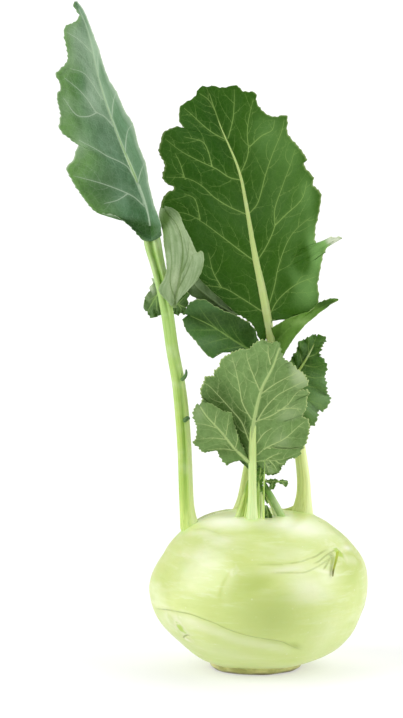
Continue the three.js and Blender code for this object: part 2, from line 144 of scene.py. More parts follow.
# Stalks with their midribs. points: (across, up, back, radius) from the foot to the tip. grooves: (share of
# the length, degrees round from the front, depth as a share of the radius, width in degrees). flat: where
# the midrib's front becomes flat, as a share of the length, and what is left of it there.
STALKS = {
    "left_leaf_stalk": dict(
        look="left_stalk_green", slot="stalk", flat=(0.6, 0.45),
        grooves=[(0, -6, 0, 30), (0.05, -4, 0.2, 26), (0.12, 0, 0.24, 24), (0.2, 8, 0.26, 28),
            (0.28, 14, 0.24, 28), (0.36, 12, 0.1, 26), (0.43, 0, 0.3, 22), (0.48, -6, 0.5, 20),
            (0.52, -16, 0.55, 20), (0.57, -10, 0.5, 26), (0.61, 0, 0.3, 40), (1, 0, 0, 40)],
        points=[(-27.3, 57, -2, 4.8), (-28.4, 62.5, -2, 3.6), (-29, 67.2, -2, 3.15),
            (-29.5, 77.7, -1.5, 3.05), (-29.9, 90.3, -1, 3), (-31.2, 109.2, -0.5, 3),
            (-32.7, 121.8, 0, 2.8), (-35.1, 134.4, 0, 2.7), (-36.8, 147, 0, 2.7), (-39.3, 162, 0, 2.9),
            (-42.2, 174, 0.3, 3.3), (-43.8, 181, 1.5, 3.9), (-44.2, 185.5, 4.4, 2.5), (-45, 191, 5, 1.3),
            (-49.5, 204, 5.4, 1.05), (-58, 224.5, 8, 0.85), (-65.5, 246.5, 10, 0.65),
            (-70.5, 268, 11, 0.45), (-74.5, 278, 11, 0.2)]),
    "big_leaf_stalk": dict(
        look="big_stalk_green", slot="stalk", flat=(0.4, 0.75),
        grooves=[(0, -50, 0, 30), (0.1, -50, 0.2, 30), (0.4, -20, 0.15, 30), (1, 0, 0, 30)],
        points=[(18.6, 57, 8, 7), (19.4, 64.5, 8, 5.2), (20, 68.5, 8, 3.9), (20.3, 72, 8, 3.25),
            (20.2, 79.8, 8.5, 2.85), (19.2, 88, 9, 2.6), (17, 103, 8, 2.2), (12, 119.5, 8, 2),
            (7, 134.5, 9, 1.9), (5, 147, 11, 1.95), (1.8, 164, 15, 1.75), (0, 172, 17, 1.5),
            (-4, 195.5, 23, 1), (-7, 210, 26, 0.72), (-14.5, 228, 30, 0.38), (-20, 241, 33, 0.2)]),
    "right_leaf_stalk": dict(
        look="right_stalk_green", slot="stalk", flat=(0.6, 0.5),
        grooves=[(0, 0, 0, 30), (0.1, 0, 0.25, 35), (0.6, 0, 0.2, 35), (1, 0, 0, 30)],
        points=[(-8.2, 60.5, 15, 4.4), (-6.4, 66, 15, 3.2), (-5.2, 71, 15, 2.5), (-4.2, 78, 16, 2.1),
            (-2.6, 88, 17, 1.8), (0, 96.5, 18, 1.5), (6, 107, 19, 1.3), (12.5, 117, 20, 1.1),
            (17, 123.5, 21, 0.65), (22, 131, 23, 0.4), (25, 137, 24.5, 0.2)]),
    "front_leaf_stalk": dict(
        look="front_stalk_green", slot="stalk",
        points=[(-1.9, 56, -15.5, 4.6), (-1.8, 60, -15.2, 3.3), (-1.7, 64, -14.2, 2.6),
            (-1.6, 68, -12.8, 2.05), (-1.5, 73, -11.6, 1.78), (-1.5, 82, -11, 1.7), (-1.5, 92, -11, 1.7),
            (-1.3, 101, -12, 1.3), (0, 109, -13, 0.85), (2.5, 118.5, -14.5, 0.65), (7, 127.5, -16, 0.42),
            (10, 133.5, -16.8, 0.2)]),
    "young_leaf_stalk": dict(
        look="young_stalk_green",
        points=[(11.9, 59.5, -8, 2.4), (10.6, 64.5, -7, 1.8), (8.2, 69.4, -5.6, 1.45),
            (5.9, 73.4, -4.6, 1.35), (4.2, 76.6, -3.8, 1.15), (3.2, 79, -3.4, 0.7)]),
    "inner_leaf_stalk": dict(
        look="bud_cream",
        points=[(2.4, 58, -15.5, 1.2), (2.4, 63, -14.3, 1), (2.4, 66, -12.4, 0.95), (2.4, 70, -8, 0.85),
            (2.3, 73.5, -4.4, 0.7), (2.3, 76, -3, 0.5), (2.2, 79, -2.6, 0.42), (2.4, 84, -1.5, 0.4),
            (3.4, 89.5, 0, 0.3)]),
    "inner_stem_left": dict(
        look="spring_green", node="inner_leaf_stalk",
        points=[(0.9, 58, -15.8, 0.9), (0.9, 63, -14.8, 0.8), (0.9, 66, -13.2, 0.75),
            (0.9, 70, -10, 0.65), (0.9, 73, -7.4, 0.6), (1.2, 79, -5.6, 0.4), (1.6, 84, -5, 0.2)]),
    "inner_stem_thin": dict(
        look="spring_green", node="inner_leaf_stalk",
        points=[(3.2, 58, -15.6, 0.5), (3.2, 64, -14.4, 0.42), (3.2, 68, -12.6, 0.42),
            (3.2, 74, -9.8, 0.4), (3.4, 79, -9.8, 0.32), (3.6, 84, -11.4, 0.28), (3.6, 89, -12, 0.15)]),
    # The flare on the crown at the big stalk's foot, olive as painted shade under it.
    "big_stalk_wing": dict(
        look="foot_flare_shade", node="big_leaf_stalk", slot="stalk",
        points=[(10.6, 66.5, 9.8, 0.3), (13.2, 66.7, 9.4, 0.6), (15.6, 67.1, 9, 1),
            (18, 68.2, 8.4, 1.5)]),
    "pale_bud": dict(
        look="bud_cream",
        points=[(9.6, 60, -8, 1.2), (8.4, 64.4, -7.4, 0.9), (7, 68.4, -5, 0.8), (5.2, 71.2, -3.6, 0.65),
            (3.8, 73.8, -3, 0.35)]),
    "stub_stalk": dict(
        look="stub_yellow_green", slot="stalk",
        grooves=[(0, 0, 0, 30), (0.5, 10, 0.3, 30), (1, 10, 0.5, 40)],
        points=[(-8.4, 58, -10.5, 3), (-7, 63.5, -10.5, 2.1), (-5, 70, -9, 1.5), (-3.9, 75, -8, 1.1),
            (-3, 80, -7.8, 0.5)]),
    "stub_strand": dict(
        look="stub_yellow_green", node="stub_stalk", slot="stalk",
        points=[(-4.9, 58, -14.6, 1.3), (-4.5, 63, -14, 1), (-3.7, 69, -11, 0.6),
            (-3, 73.5, -9.4, 0.3)]),
    "scar_stub": dict(
        look="stub_olive",
        points=[(34.2, 50.4, -24.6, 0.75), (33.6, 48, -26.9, 0.6), (32.9, 45, -29.6, 0.5),
            (32, 42.6, -31.7, 0.45), (31.8, 39.6, -33.2, 0.3)]),
    "left_stalk_upper_nub": dict(
        look="nub_green",
        points=[(-31.6, 121.5, -2.2, 0.8), (-30.3, 122.2, -2.6, 0.8), (-29.2, 124.4, -2.6, 0.65),
            (-29.4, 126.2, -2.3, 0.3)]),
    "left_stalk_lower_nub": dict(
        look="nub_green",
        points=[(-30.6, 104.2, -2.6, 0.9), (-29.4, 105, -2.9, 1), (-28.3, 106, -2.8, 0.8),
            (-27.9, 105, -2.4, 0.3)]),
}
STALK_DEFAULTS = dict(slot="young_growth", flat=(1, 1), grooves=[(0, 0, 0, 30), (1, 0, 0, 30)])

# Blades. rib: (across, up, back, radius) from the base to the tip. left, right: (across, up) round each
# margin. faces: 1 where the upper side faces the front. lift, curl: how far each half rises towards its
# upper side. bow: how far it sags between rib and margin. ruffle: the height and the count of the waves.
# cover: how far the blade stands off its rib. creases: folds along (across, up) points. Patches of painted
# shade and painted light: (across, up, half width, half height, strength); painted shade in the deep colour
# above 0, painted light in the pale colour below 0, and whitish below -1.
# veins: side veins as (across, up) points, with their strengths by tier.
BLADES = {
    "left_leaf_blade": dict(
        look="leaf_blue_green", lift=(0.1, 0.75), curl=(-0.004, 0.02), rows=230, columns=96, cover=0.12,
        teeth=(0.5, 0.1), puff=0.8, vein_width=0.26, rib_strength=1.1, rib_from=0.07,
        rib=[(-43.4, 179.8, -3, 0.3), (-44.2, 185.5, -0.6, 0.35), (-45.5, 192.5, 3.2, 0.6),
            (-49.5, 204, 5.4, 1), (-58, 224.5, 8, 0.85), (-65.5, 246.5, 10, 0.65),
            (-70.5, 268, 11, 0.45), (-75.5, 280, 11, 0.2)],
        left=[(-47.6, 180.2), (-50.5, 183), (-54, 185.8), (-61, 190.5), (-67, 191.5), (-72.5, 198),
            (-78, 206.5), (-79.5, 210.5), (-76.5, 214), (-75.5, 218), (-74.5, 219.5), (-79, 224),
            (-82.5, 227.5), (-82, 232), (-83.5, 241), (-82, 243.5), (-82.5, 246.5), (-84, 250),
            (-82, 252), (-80, 254), (-79, 256), (-80.5, 266), (-80, 269.5), (-76, 271.5), (-74, 274),
            (-76.5, 278.5), (-76, 280)],
        right=[(-39.5, 182), (-39.2, 186.5), (-40.4, 190), (-42.6, 195.5), (-45.2, 208), (-47.6, 217),
            (-51.8, 229), (-56.2, 237.5), (-62.8, 251), (-67.2, 264), (-70, 271.5), (-72.5, 277),
            (-75, 280)],
        creases=[
            dict(line=[(-39, 183.5), (-44.5, 188), (-48.7, 190), (-53, 190.6), (-58, 189.6)],
                 slope=0.6, soft=0.4, reach=4)],
        shade_and_light_patches=[(-76, 262, 7, 12, -0.65), (-68, 256, 4, 16, -0.6), (-66, 240, 8, 8, -0.5),
            (-62, 228, 4, 10, -0.2), (-74, 219, 5, 7, -0.4), (-57, 219, 6, 9, -0.2),
            (-53, 206, 4, 10, -0.25), (-46, 201, 3, 12, -0.25), (-57, 193, 5, 4, -0.1),
            (-79, 262, 4, 6, 0.3), (-45, 184, 8, 4.4, 1.0), (-54, 186.5, 7, 2.8, 0.9),
            (-66, 201, 10, 8, 0.5), (-80, 236, 4, 8, -0.3), (-60, 208, 6, 6, 0.35),
            (-75, 246, 3, 5, 0.35), (-67, 231, 7, 6, -0.1)],
        veins=[
            [(-47, 194.5), (-51.5, 198.5), (-60.5, 202.5), (-66.5, 204.5), (-76, 207)],
            [(-54, 199.5), (-58, 197), (-63.5, 195.5)],
            [(-51, 206.5), (-54, 211), (-57, 213), (-62.5, 215.5), (-66.5, 218), (-74, 222)],
            [(-60, 228), (-63.5, 232), (-67, 234), (-70.5, 239), (-74, 243), (-80, 248)],
            [(-67, 233.5), (-70.5, 232), (-75, 232.5), (-80.5, 239.5)],
            [(-64.5, 239.5), (-72, 250), (-77.5, 252)], [(-68, 258), (-74, 264), (-79, 267)],
            [(-49.5, 204), (-48, 209), (-46.5, 212)], [(-55, 215.5), (-53.5, 225.5), (-51.5, 228)],
            [(-60.5, 230), (-59.5, 238), (-58, 242)], [(-66, 248), (-66, 256), (-65.5, 261)]]),
    "left_leaf_curled_lobe": dict(
        look="leaf_curled", slot="leaf_under", faces=-1, fan=1.1, lift=(-0.35, 0.25), curl=(0, 0.01),
        rows=130, columns=80, teeth=(0.1, 0.15), puff=0.25, vein_width=0.32,
        vein_strength=(0.75, 0.25, 0.12),
        rib=[(-34.6, 152.5, -3.5, 0.9), (-32.6, 161.5, -6, 0.7), (-31.2, 170, -7.5, 0.5),
            (-30.8, 177, -8, 0.4), (-33, 186, -7.5, 0.3), (-38.5, 193.3, -5, 0.2)],
        left=[(-35.5, 152.5), (-37, 154.1), (-39.5, 156.7), (-40.7, 159.2), (-40.3, 160.9),
            (-38.6, 163.8), (-37.4, 168), (-37.8, 173), (-38.6, 178.5), (-38.8, 182), (-39.9, 187),
            (-40.5, 190.5), (-40.2, 193.6)],
        right=[(-34, 152.8), (-31.9, 155.6), (-29.4, 158.3), (-25.2, 162.5), (-23.5, 165.1), (-22, 170),
            (-21.8, 173.9), (-22.7, 175.6), (-24.4, 174.7), (-25.2, 175.6), (-27.7, 181.4),
            (-29.8, 185.2), (-32.6, 191.5), (-35.3, 193.6), (-38.4, 194.5)],
        creases=[
            dict(line=[(-33.5, 156), (-31, 163), (-29.8, 170), (-29.6, 177)],
                 slope=-0.5, soft=0.35, reach=3),
            dict(line=[(-40, 183), (-36.5, 185), (-32.5, 190.5), (-31.5, 194)],
                 slope=0.7, soft=0.8, reach=6)],
        shade_and_light_patches=[(-39, 185, 2.4, 8, 0.85), (-37, 190, 2.2, 3.5, 0.7), (-39.5, 172, 2, 9, 0.3),
            (-30.5, 166, 1.2, 10, 0.3), (-27, 177, 4, 6, -0.35), (-33, 163, 5, 8, -0.5),
            (-32, 186, 4, 5, -0.3)],
        veins=[
            [(-34.4, 153.5), (-32.4, 161.5), (-31, 170), (-30.6, 177), (-32.5, 185)],
            [(-34, 155), (-36, 162), (-35.5, 172), (-36.5, 184)],
            [(-32.8, 160), (-29, 167), (-26.5, 174)], [(-32, 165), (-29, 172), (-28, 179)]]),
    "left_leaf_back_lobe_left": dict(
        look="leaf_small_lobe", fan=1, rows=60, columns=40,
        rib=[(-40, 160, 3.5, 0.6), (-43, 155, 5, 0.4), (-45.5, 150.5, 6, 0.2)],
        left=[(-40.5, 163.5), (-43.5, 164.5), (-44, 161), (-46.5, 156.5), (-47.3, 153), (-46.5, 150.5)],
        right=[(-39.5, 154), (-40, 149), (-42, 148), (-43.5, 147.5), (-45.5, 149)],
        shade_and_light_patches=[(-43.5, 162, 4, 4, -0.8), (-45, 155, 4, 5, -0.3), (-41, 150.5, 3, 4, 1.0)],
        veins=[[(-42, 157), (-45, 155)], [(-42, 156.5), (-41.5, 151)]]),
    "left_leaf_back_lobe_right": dict(
        look="leaf_small_lobe", fan=1, rows=60, columns=40,
        rib=[(-34.5, 154, 2.5, 0.6), (-32, 153, 3, 0.4), (-29.5, 152, 3, 0.2)],
        left=[(-34.5, 157.5), (-31, 159.5), (-28.3, 158), (-28.8, 155.5), (-28.3, 153)],
        right=[(-35, 150.5), (-33, 148.5), (-31.5, 149.5), (-30, 149), (-29, 151.5)],
        shade_and_light_patches=[(-31, 154, 5, 5, 0.5)],
        veins=[[(-33, 153.5), (-30, 156.5)], [(-32.5, 153), (-31, 150.5)]]),
    "big_leaf_blade": dict(
        look="leaf_green", lift=(0.3, 0.3), curl=(-0.004, -0.004), fan=1.45, rows=270, columns=128,
        cover=0.12, puff=1, vein_width=0.2, vein_strength=(1, 0.45, 0.28), teeth=(0.5, 0.5), pitch=2.6,
        rib=[(5.5, 146, 10.8, 2.1), (1.8, 164, 15, 1.75), (0, 172, 17, 1.5), (-4, 195.5, 23, 0.95),
            (-7, 210, 26, 0.72), (-14.5, 228, 30, 0.4), (-20.5, 245.5, 34, 0.2)],
        left=[(3.5, 136), (1.8, 137.3), (0.3, 140.3), (-1.6, 144.2), (-4.4, 146.7), (-8.5, 149),
            (-13, 151), (-17.5, 152.5), (-22.5, 155), (-29, 158.6), (-33.5, 166), (-37, 178.5),
            (-39, 187), (-40, 195.5), (-38, 200), (-34.5, 202), (-38, 204.5), (-39.5, 207), (-38.5, 212),
            (-41, 218), (-40, 222.5), (-39.3, 225.5), (-34.5, 228), (-30.5, 227.5), (-32.3, 230),
            (-32.5, 233), (-31.8, 237), (-26, 241), (-24.2, 244.5), (-22.5, 246)],
        right=[(6.4, 146.6), (8.2, 147), (10.5, 147.1), (13, 147.1), (16, 147.7), (20.5, 149.4),
            (25.8, 153), (26.6, 157.5), (26, 161.5), (26.8, 166.5), (28, 171.2), (29.2, 174.4),
            (31, 177.2), (33, 178.9), (36.9, 181), (34, 181.2), (30, 179.8), (26, 179), (25.3, 185.5),
            (26.5, 191), (27.7, 199.5), (26.5, 201.5), (24, 204), (24.5, 206.5), (20.5, 212),
            (21.5, 214.5), (17.5, 220.5), (13.5, 225.5), (13, 233), (9, 232.5), (5, 233.5), (0.3, 239),
            (0.3, 242.5), (-5.5, 243.7), (-8, 246), (-13, 245.3), (-18.5, 246)],
        creases=[
            dict(line=[(27, 190), (24, 182), (19, 173), (14, 164), (11, 156)],
                 slope=-0.55, soft=0.8, reach=10)],
        shade_and_light_patches=[(-24, 212, 13, 28, 0.7), (-20, 172, 14, 22, 0.25), (-16, 158, 10, 7, 0.6),
            (10, 208, 9, 24, -0.2), (17, 184, 8, 14, -0.2), (24, 176, 3, 14, -0.5),
            (23, 156, 7, 6, -0.4), (18, 164, 7, 7, -0.4), (16, 218, 5, 10, -0.25), (3, 226, 9, 12, -0.3),
            (21.5, 201, 4, 9, -0.35), (20.5, 172, 3, 5, 0.75), (12, 161, 4, 5, 0.35),
            (33.5, 180, 5, 4, -2.2), (27.5, 172, 2.4, 6, -0.5), (-6, 240, 11, 6, 0.4),
            (-21, 232, 10, 12, 0.55), (-14, 216, 5, 10, 0.35)],
        veins=[
            [(2.5, 150.5), (-6, 156), (-13, 160), (-21.5, 161.5), (-28, 163)],
            [(-14.5, 160.5), (-18, 167), (-20, 175)],
            [(-1, 172), (-6.5, 176), (-15, 182.5), (-22.5, 188), (-29, 191.5), (-35, 192.5)],
            [(-23.5, 189.5), (-26, 198), (-30, 200)],
            [(-4, 191.5), (-11, 194.5), (-17.5, 198.5), (-23, 203.5), (-29, 206.5), (-37.5, 207)],
            [(-30, 206.5), (-32, 213), (-34, 217)],
            [(-6.5, 206), (-11, 207), (-16.5, 210.5), (-24, 214), (-31.5, 218), (-38, 223)],
            [(-18.5, 212), (-20.5, 219), (-22.5, 222), (-30, 224)],
            [(-12.5, 223), (-17.5, 225.5), (-21, 228), (-27, 233.5), (-30, 236)],
            [(-17, 235), (-20, 240), (-23.5, 242.5)],
            [(6, 149), (8.5, 154), (11.5, 157.5), (17.5, 162), (25, 165)],
            [(5, 151), (8, 161.5), (9.5, 169), (13.5, 180), (17, 185), (23, 190)],
            [(1.5, 173), (4, 177), (6.5, 182), (8, 186.5), (8, 193), (11, 202.5), (14.5, 212),
             (16.5, 218.5)], [(8, 186.5), (13, 191.5), (18, 196), (20, 199), (21.5, 205)],
            [(-2, 192.5), (0.5, 195.5), (2, 199.5), (4, 207.5), (7, 216.5), (11, 226.5), (12, 231)],
            [(-6.5, 208.5), (-4, 214), (-3, 218.5), (-3.5, 225), (-3, 231), (-1, 240)],
            [(-3, 219.5), (2.5, 224.5), (7, 227), (8, 231)],
            [(-11.5, 224), (-9.5, 232), (-9, 240), (-9, 244)]]),
    "big_leaf_left_lobe": dict(
        fan=1.2, lift=(0.35, 0.55), curl=(0, -0.006), rows=130, columns=80, puff=0.7, vein_width=0.2,
        vein_strength=(0.5, 0.25, 0.1),
        rib=[(6, 127.5, 7.5, 1), (2, 131.5, 5.5, 0.8), (-2, 134, 4, 0.6), (-8, 137.5, 2.5, 0.45),
            (-19, 144.5, 1.5, 0.3), (-28.5, 149, 2, 0.2)],
        left=[(5.5, 131.5), (2.8, 134.8), (0.9, 137.8), (-0.7, 141.2), (-2.5, 145.9), (-5.8, 147.6),
            (-8.8, 149), (-13, 150.8), (-17.5, 153), (-22.5, 155.6), (-27, 154.8), (-28.5, 153),
            (-30.5, 149.5)],
        right=[(5, 126), (1, 128.5), (-4, 131), (-8, 132.3), (-12, 133.5), (-16, 132.3), (-17.5, 130.5),
            (-19.5, 131), (-24.5, 136.5), (-27, 139.5), (-29, 142), (-30, 143.5), (-31, 147)],
        shade_and_light_patches=[(-15, 147.5, 15, 4.2, 1.0), (-4, 142, 5, 5, 0.8), (-19, 138, 14, 5.5, -0.2),
            (-6, 134, 6, 3, 0.3), (1, 133, 5, 4, 0.5), (-12, 141, 4, 3, 0.3), (-24, 146, 4, 4, 0.3)],
        veins=[
            [(-4, 135.2), (-8, 140), (-11, 145)], [(-9, 138.3), (-14, 143), (-18, 149.5)],
            [(-15, 142), (-20, 147), (-24, 152.5)], [(-5, 135.8), (-10, 135), (-15, 134)],
            [(-11, 139.4), (-17, 138), (-22, 136.5)], [(-16, 142.6), (-22, 142.5), (-28, 142.5)]]),
    "big_leaf_right_lobe": dict(
        look="leaf_green_lit", fan=1, lift=(0.25, 0.5), rows=120, columns=56, puff=0.3,
        teeth=(0.3, 0.1), vein_strength=(0.2, 0.12, 0.06), rib_strength=0.35,
        rib=[(7, 136, 11.5, 0.6), (10.5, 139.8, 8.5, 0.5), (16, 144.8, 3.5, 0.4), (24, 150.3, 0.5, 0.35),
            (34.5, 155.4, 0, 0.2)],
        left=[(6.6, 143.5), (9, 145), (12.2, 146.8), (17.6, 149), (22.5, 150.6), (26.3, 154),
            (30.5, 155.7), (34.5, 155.7)],
        right=[(7.6, 129), (9.6, 128), (10.9, 129.6), (12, 132), (13.3, 134.8), (15, 137.6),
            (16.8, 140.1), (18.8, 142.5), (21, 145), (24.2, 147.6), (27, 150), (29.6, 152), (32, 153.8),
            (34.3, 155)],
        shade_and_light_patches=[(19, 146, 9, 2.2, -0.35), (29, 153.8, 6, 2.6, 1.0), (10, 133, 3, 5, 0.2),
            (11, 142, 3, 3, 0.3)],
        veins=[
            [(11, 140.5), (13, 144), (15, 146.5)], [(16, 144.8), (19, 147), (21, 149.5)],
            [(10, 139.4), (13, 138.3), (14.5, 138)], [(15, 144), (19, 144.2), (22, 146.5)]]),
    "big_leaf_hem": dict(
        look="leaf_hem", node="big_leaf_blade", slot="leaf_under", faces=-1, fan=1, lift=(0.1, 0.4),
        rows=90, columns=40, puff=0.1, teeth=(0.15, 0), vein_strength=(0.2, 0.1, 0.1),
        rib=[(-8, 148.8, 6.2, 0.3), (-14, 152.2, 5.2, 0.3), (-19, 155.8, 4.6, 0.3),
            (-24, 159.8, 4.4, 0.3), (-27.5, 163.5, 5, 0.2)],
        left=[(-9, 148.4), (-13, 149.8), (-17.5, 152.2), (-22.5, 154.8), (-29, 158.6), (-28.8, 162.5)],
        right=[(-8.5, 149.6), (-13, 154), (-18, 158.5), (-22.5, 162.8), (-26, 166.5), (-27.3, 166.5)],
        shade_and_light_patches=[(-26.5, 162, 3, 4, -0.5), (-14, 152, 8, 4, 0.8)],
        veins=[[(-16, 153.6), (-18, 153.2), (-20, 154.5)]]),
    "right_leaf_blade": dict(
        look="leaf_bright_green", lift=(0.1, -0.1), ruffle=(1.5, 7), rows=190, columns=80, puff=0.8,
        teeth=(0.6, 1.1), pitch=2, vein_width=0.24, rib_strength=0.6, vein_strength=(0.6, 0.3, 0.15),
        rib=[(11, 115, 20, 1.1), (17, 123.5, 21, 0.7), (22, 131, 23, 0.45), (26, 140, 25, 0.2)],
        left=[(9.5, 116.5), (11, 121), (13.5, 124), (14.5, 129.5), (16, 132), (17.5, 134.5), (18.5, 138),
            (20, 138.5), (23.5, 140.3), (25.5, 141)],
        right=[(13, 111), (17, 105.5), (21, 103.5), (22.5, 101.5), (24, 102), (26, 104), (26.5, 108.5),
            (29.5, 109), (31.5, 112.5), (30.5, 116.5), (30, 120), (29.5, 123.5), (30.5, 127), (29, 130),
            (27.5, 131.5), (28, 135), (30, 139.5), (26.5, 141)],
        creases=[
            dict(line=[(15, 121), (20, 122.5), (25, 126), (30, 131)], slope=0.5, soft=0.6, reach=5)],
        shade_and_light_patches=[(19, 131, 7, 8, 0.9), (25, 110, 8, 8, -0.5), (29, 124, 3, 8, -0.35), (15, 114, 4, 4, 0.4),
            (22, 121, 6, 6, 0.3)],
        veins=[
            [(16, 122), (22, 119), (29, 118)], [(18, 125), (24, 122.5), (29, 122.5)],
            [(14, 119), (20, 114), (28, 111)], [(12.5, 117), (17, 110), (23, 104)],
            [(20, 128), (25, 127), (29, 128)], [(22, 131), (26, 133), (29, 138)],
            [(17, 123.5), (16, 127), (15.5, 130)], [(20, 128), (19, 132), (19, 136.5)],
            [(22.5, 132), (22.5, 136), (22.5, 139.5)]]),
    "front_leaf_blade": dict(
        look="leaf_pale_back", slot="leaf_under", faces=-1, lift=(0.12, 0.15), curl=(0.002, 0.002),
        rows=220, columns=104, puff=0.9, teeth=(0.75, 0.95), pitch=1.7, vein_width=0.27,
        vein_strength=(1, 0.5, 0.28),
        rib=[(-1.5, 83.5, -10.3, 1.2), (-1.5, 92, -11, 1.2), (-1.3, 101, -12, 1.05), (0, 109, -13, 0.8),
            (2.5, 118.5, -14.5, 0.6), (7, 127.5, -16, 0.4), (10, 136.5, -17, 0.2)],
        left=[(-3, 84.5), (-9, 89), (-17, 96.5), (-22.5, 105), (-24, 110), (-23, 113), (-23.5, 117.5),
            (-22, 121), (-21.5, 123), (-18, 123.5), (-18, 125.3), (-16, 126.8), (-15, 130),
            (-11.5, 132.5), (-9.5, 133.5), (-6.5, 134.7), (-3.5, 134.5), (-1, 137), (2, 138.3), (6, 137),
            (8.5, 138)],
        right=[(0, 84.2), (3, 85.8), (7, 87), (11.5, 89), (16.4, 90.8), (19.3, 92.4), (21, 94.2),
            (22.5, 100), (22, 105), (19.7, 106.5), (21.3, 110), (21.7, 115), (22.7, 116), (21.5, 117.3),
            (18.5, 117.7), (22, 119.7), (21.5, 121.5), (19.5, 124.5), (17.5, 126), (15, 128), (12, 130),
            (10.3, 134), (9.5, 137.5)],
        creases=[
            dict(line=[(10, 138), (12, 131), (14, 124), (20, 121)], slope=-0.5, soft=0.6, reach=5),
            dict(line=[(23, 103), (16, 103.5), (8, 103), (3, 99)], slope=-0.3, soft=0.7, reach=7),
            dict(line=[(-9, 134), (-10, 122), (-6, 108), (-2, 96)], slope=-0.35, soft=0.8, reach=8)],
        shade_and_light_patches=[(-16, 112, 8, 12, 0.85), (-6.3, 103, 3.4, 9, 0.85), (-5, 97, 3, 8, 0.7),
            (18.5, 124, 8, 6, -0.6), (14, 132, 5, 5, -0.3), (4, 111, 5, 7, 0.4), (0, 126, 6, 5, 0.3),
            (12, 124, 3, 6, 0.35), (10, 103.5, 9, 1.2, 0.15), (18, 101, 6, 4, 0.35),
            (-10, 127, 5, 6, -0.25), (11, 96, 5, 4, -0.3), (13, 106, 8, 6, -0.38)],
        veins=[
            [(1.5, 117.5), (-1.5, 124.5), (-3.5, 130), (-4, 133)],
            [(-2, 105.5), (-5.5, 112), (-7, 119.5), (-8.5, 126), (-10, 131)],
            [(-3, 96.5), (-6, 104), (-11, 110), (-16.5, 116), (-19.5, 119), (-22, 120.5)],
            [(2, 116), (7.5, 120), (13, 123), (17, 125)],
            [(0.5, 105), (4, 110.5), (9, 115.5), (14.5, 118.5), (19.5, 121)],
            [(0, 104.5), (6.5, 107), (13, 111.5), (17, 116.5), (20, 118)],
            [(9, 109), (14, 110), (18.5, 109.5)], [(0.5, 95.5), (3.5, 99.5), (6.5, 101.5)],
            [(0, 90), (4.5, 93.5), (11.5, 97), (17.5, 102), (20, 104)], [(5, 93.3), (12, 92), (17, 91)],
            [(6, 128.5), (5, 133), (5, 136)]]),
    "front_leaf_low_lobe": dict(
        look="leaf_pale_back", node="front_leaf_blade", slot="leaf_under", faces=-1, fan=1.1,
        lift=(-0.3, 0.05), ruffle=(0.3, 4), rows=130, columns=60, teeth=(0.2, 0.7), pitch=1,
        vein_width=0.22, vein_strength=(1, 0.5, 0.2), rib_strength=0.5,
        rib=[(0.2, 87.6, -10.5, 0.35), (4, 88, -10.6, 0.35), (8, 88, -10.9, 0.3),
            (11.5, 88.7, -10.6, 0.25), (15, 90, -9.9, 0.2), (18.6, 91.6, -8.9, 0.15)],
        left=[(0.3, 90), (2.5, 92.2), (5, 93.3), (8.5, 92.9), (12, 92.6), (15.5, 92.8), (18.2, 92.8)],
        right=[(0.6, 86), (1.8, 85), (3.2, 84), (4.1, 82.4), (5.9, 82.2), (7.6, 82.6), (9.9, 83.2),
            (10.1, 85), (12, 86.2), (13.2, 88), (15, 88.7), (17.2, 89.2), (19, 90.8)],
        shade_and_light_patches=[(10, 84.4, 2.5, 2.5, 0.55), (4, 86, 3, 2.5, -0.3), (7, 83.4, 2, 1.4, -0.35),
            (0.8, 86, 1.6, 2, 0.6), (9, 90, 4, 1.5, 0.2), (13.5, 88.3, 2.5, 1.2, 0.4)],
        veins=[
            [(3, 87.9), (4.6, 85.6), (5.3, 83.2)], [(5.5, 88), (7.6, 85.8), (8.6, 83.8)],
            [(8, 88), (10, 86.6), (11.6, 86.8)], [(4, 88.2), (7, 90), (10.5, 91.2)]]),
    "front_leaf_flap": dict(
        look="leaf_pale_back", slot="leaf_under", faces=-1, fan=1.1, lift=(0.05, 0.25), rows=150,
        columns=80, puff=0.7, teeth=(0.7, 0.6), pitch=1.7, vein_width=0.18,
        vein_strength=(0.9, 0.42, 0.2),
        rib=[(-3, 87.3, -11, 0.75), (-8.5, 92.3, -13.5, 0.5), (-15, 100.3, -16, 0.36),
            (-20.5, 106.3, -17.5, 0.25), (-23.8, 111, -18, 0.15)],
        left=[(-3.5, 86.5), (-6.5, 88), (-9, 87), (-12, 86), (-14, 87.5), (-15.5, 89.5), (-16.5, 92),
            (-18, 92), (-22.5, 91.5), (-24.5, 93.5), (-26.5, 95), (-25.5, 96.5), (-25, 102),
            (-26.5, 106.5), (-25.5, 110.5), (-24.5, 112)],
        right=[(-2.8, 89), (-5, 92), (-6.5, 95.5), (-8, 99.5), (-9.5, 104), (-10.5, 108), (-13, 108.5),
            (-16, 110), (-19.5, 112), (-23, 112.3)],
        shade_and_light_patches=[(-10, 103, 3, 6, 0.4), (-17, 107, 4, 3, 0.3), (-21, 99, 5, 7, -0.1),
            (-14, 92, 10, 3, 0.55), (-24, 108, 4, 4, -0.3)],
        veins=[
            [(-8, 92), (-14, 93), (-20, 92.5)], [(-12, 96.8), (-18, 97.5), (-24.5, 97)],
            [(-16, 101.5), (-21, 103), (-25, 103.5)], [(-13, 98), (-12, 103.5), (-11.5, 107)],
            [(-17.5, 103.2), (-17, 107), (-16.5, 109)], [(-9, 93), (-8, 97.5), (-8.5, 101)]]),
    "young_leaf_blade": dict(
        look="leaf_young", slot="young_growth", fan=1, ruffle=(0.6, 4), rows=80, columns=32,
        teeth=(0.3, 0.3), pitch=0.9,
        rib=[(3.4, 78.7, -3.8, 0.4), (8.5, 79, -5, 0.3), (13.4, 78.8, -5, 0.2)],
        left=[(3.4, 79), (5.4, 79.2), (6.2, 80.2), (7.2, 79.9), (8.4, 80.1), (9.2, 79.4), (10, 79.3),
            (11, 79.9), (12, 79.5), (13.4, 79.2)],
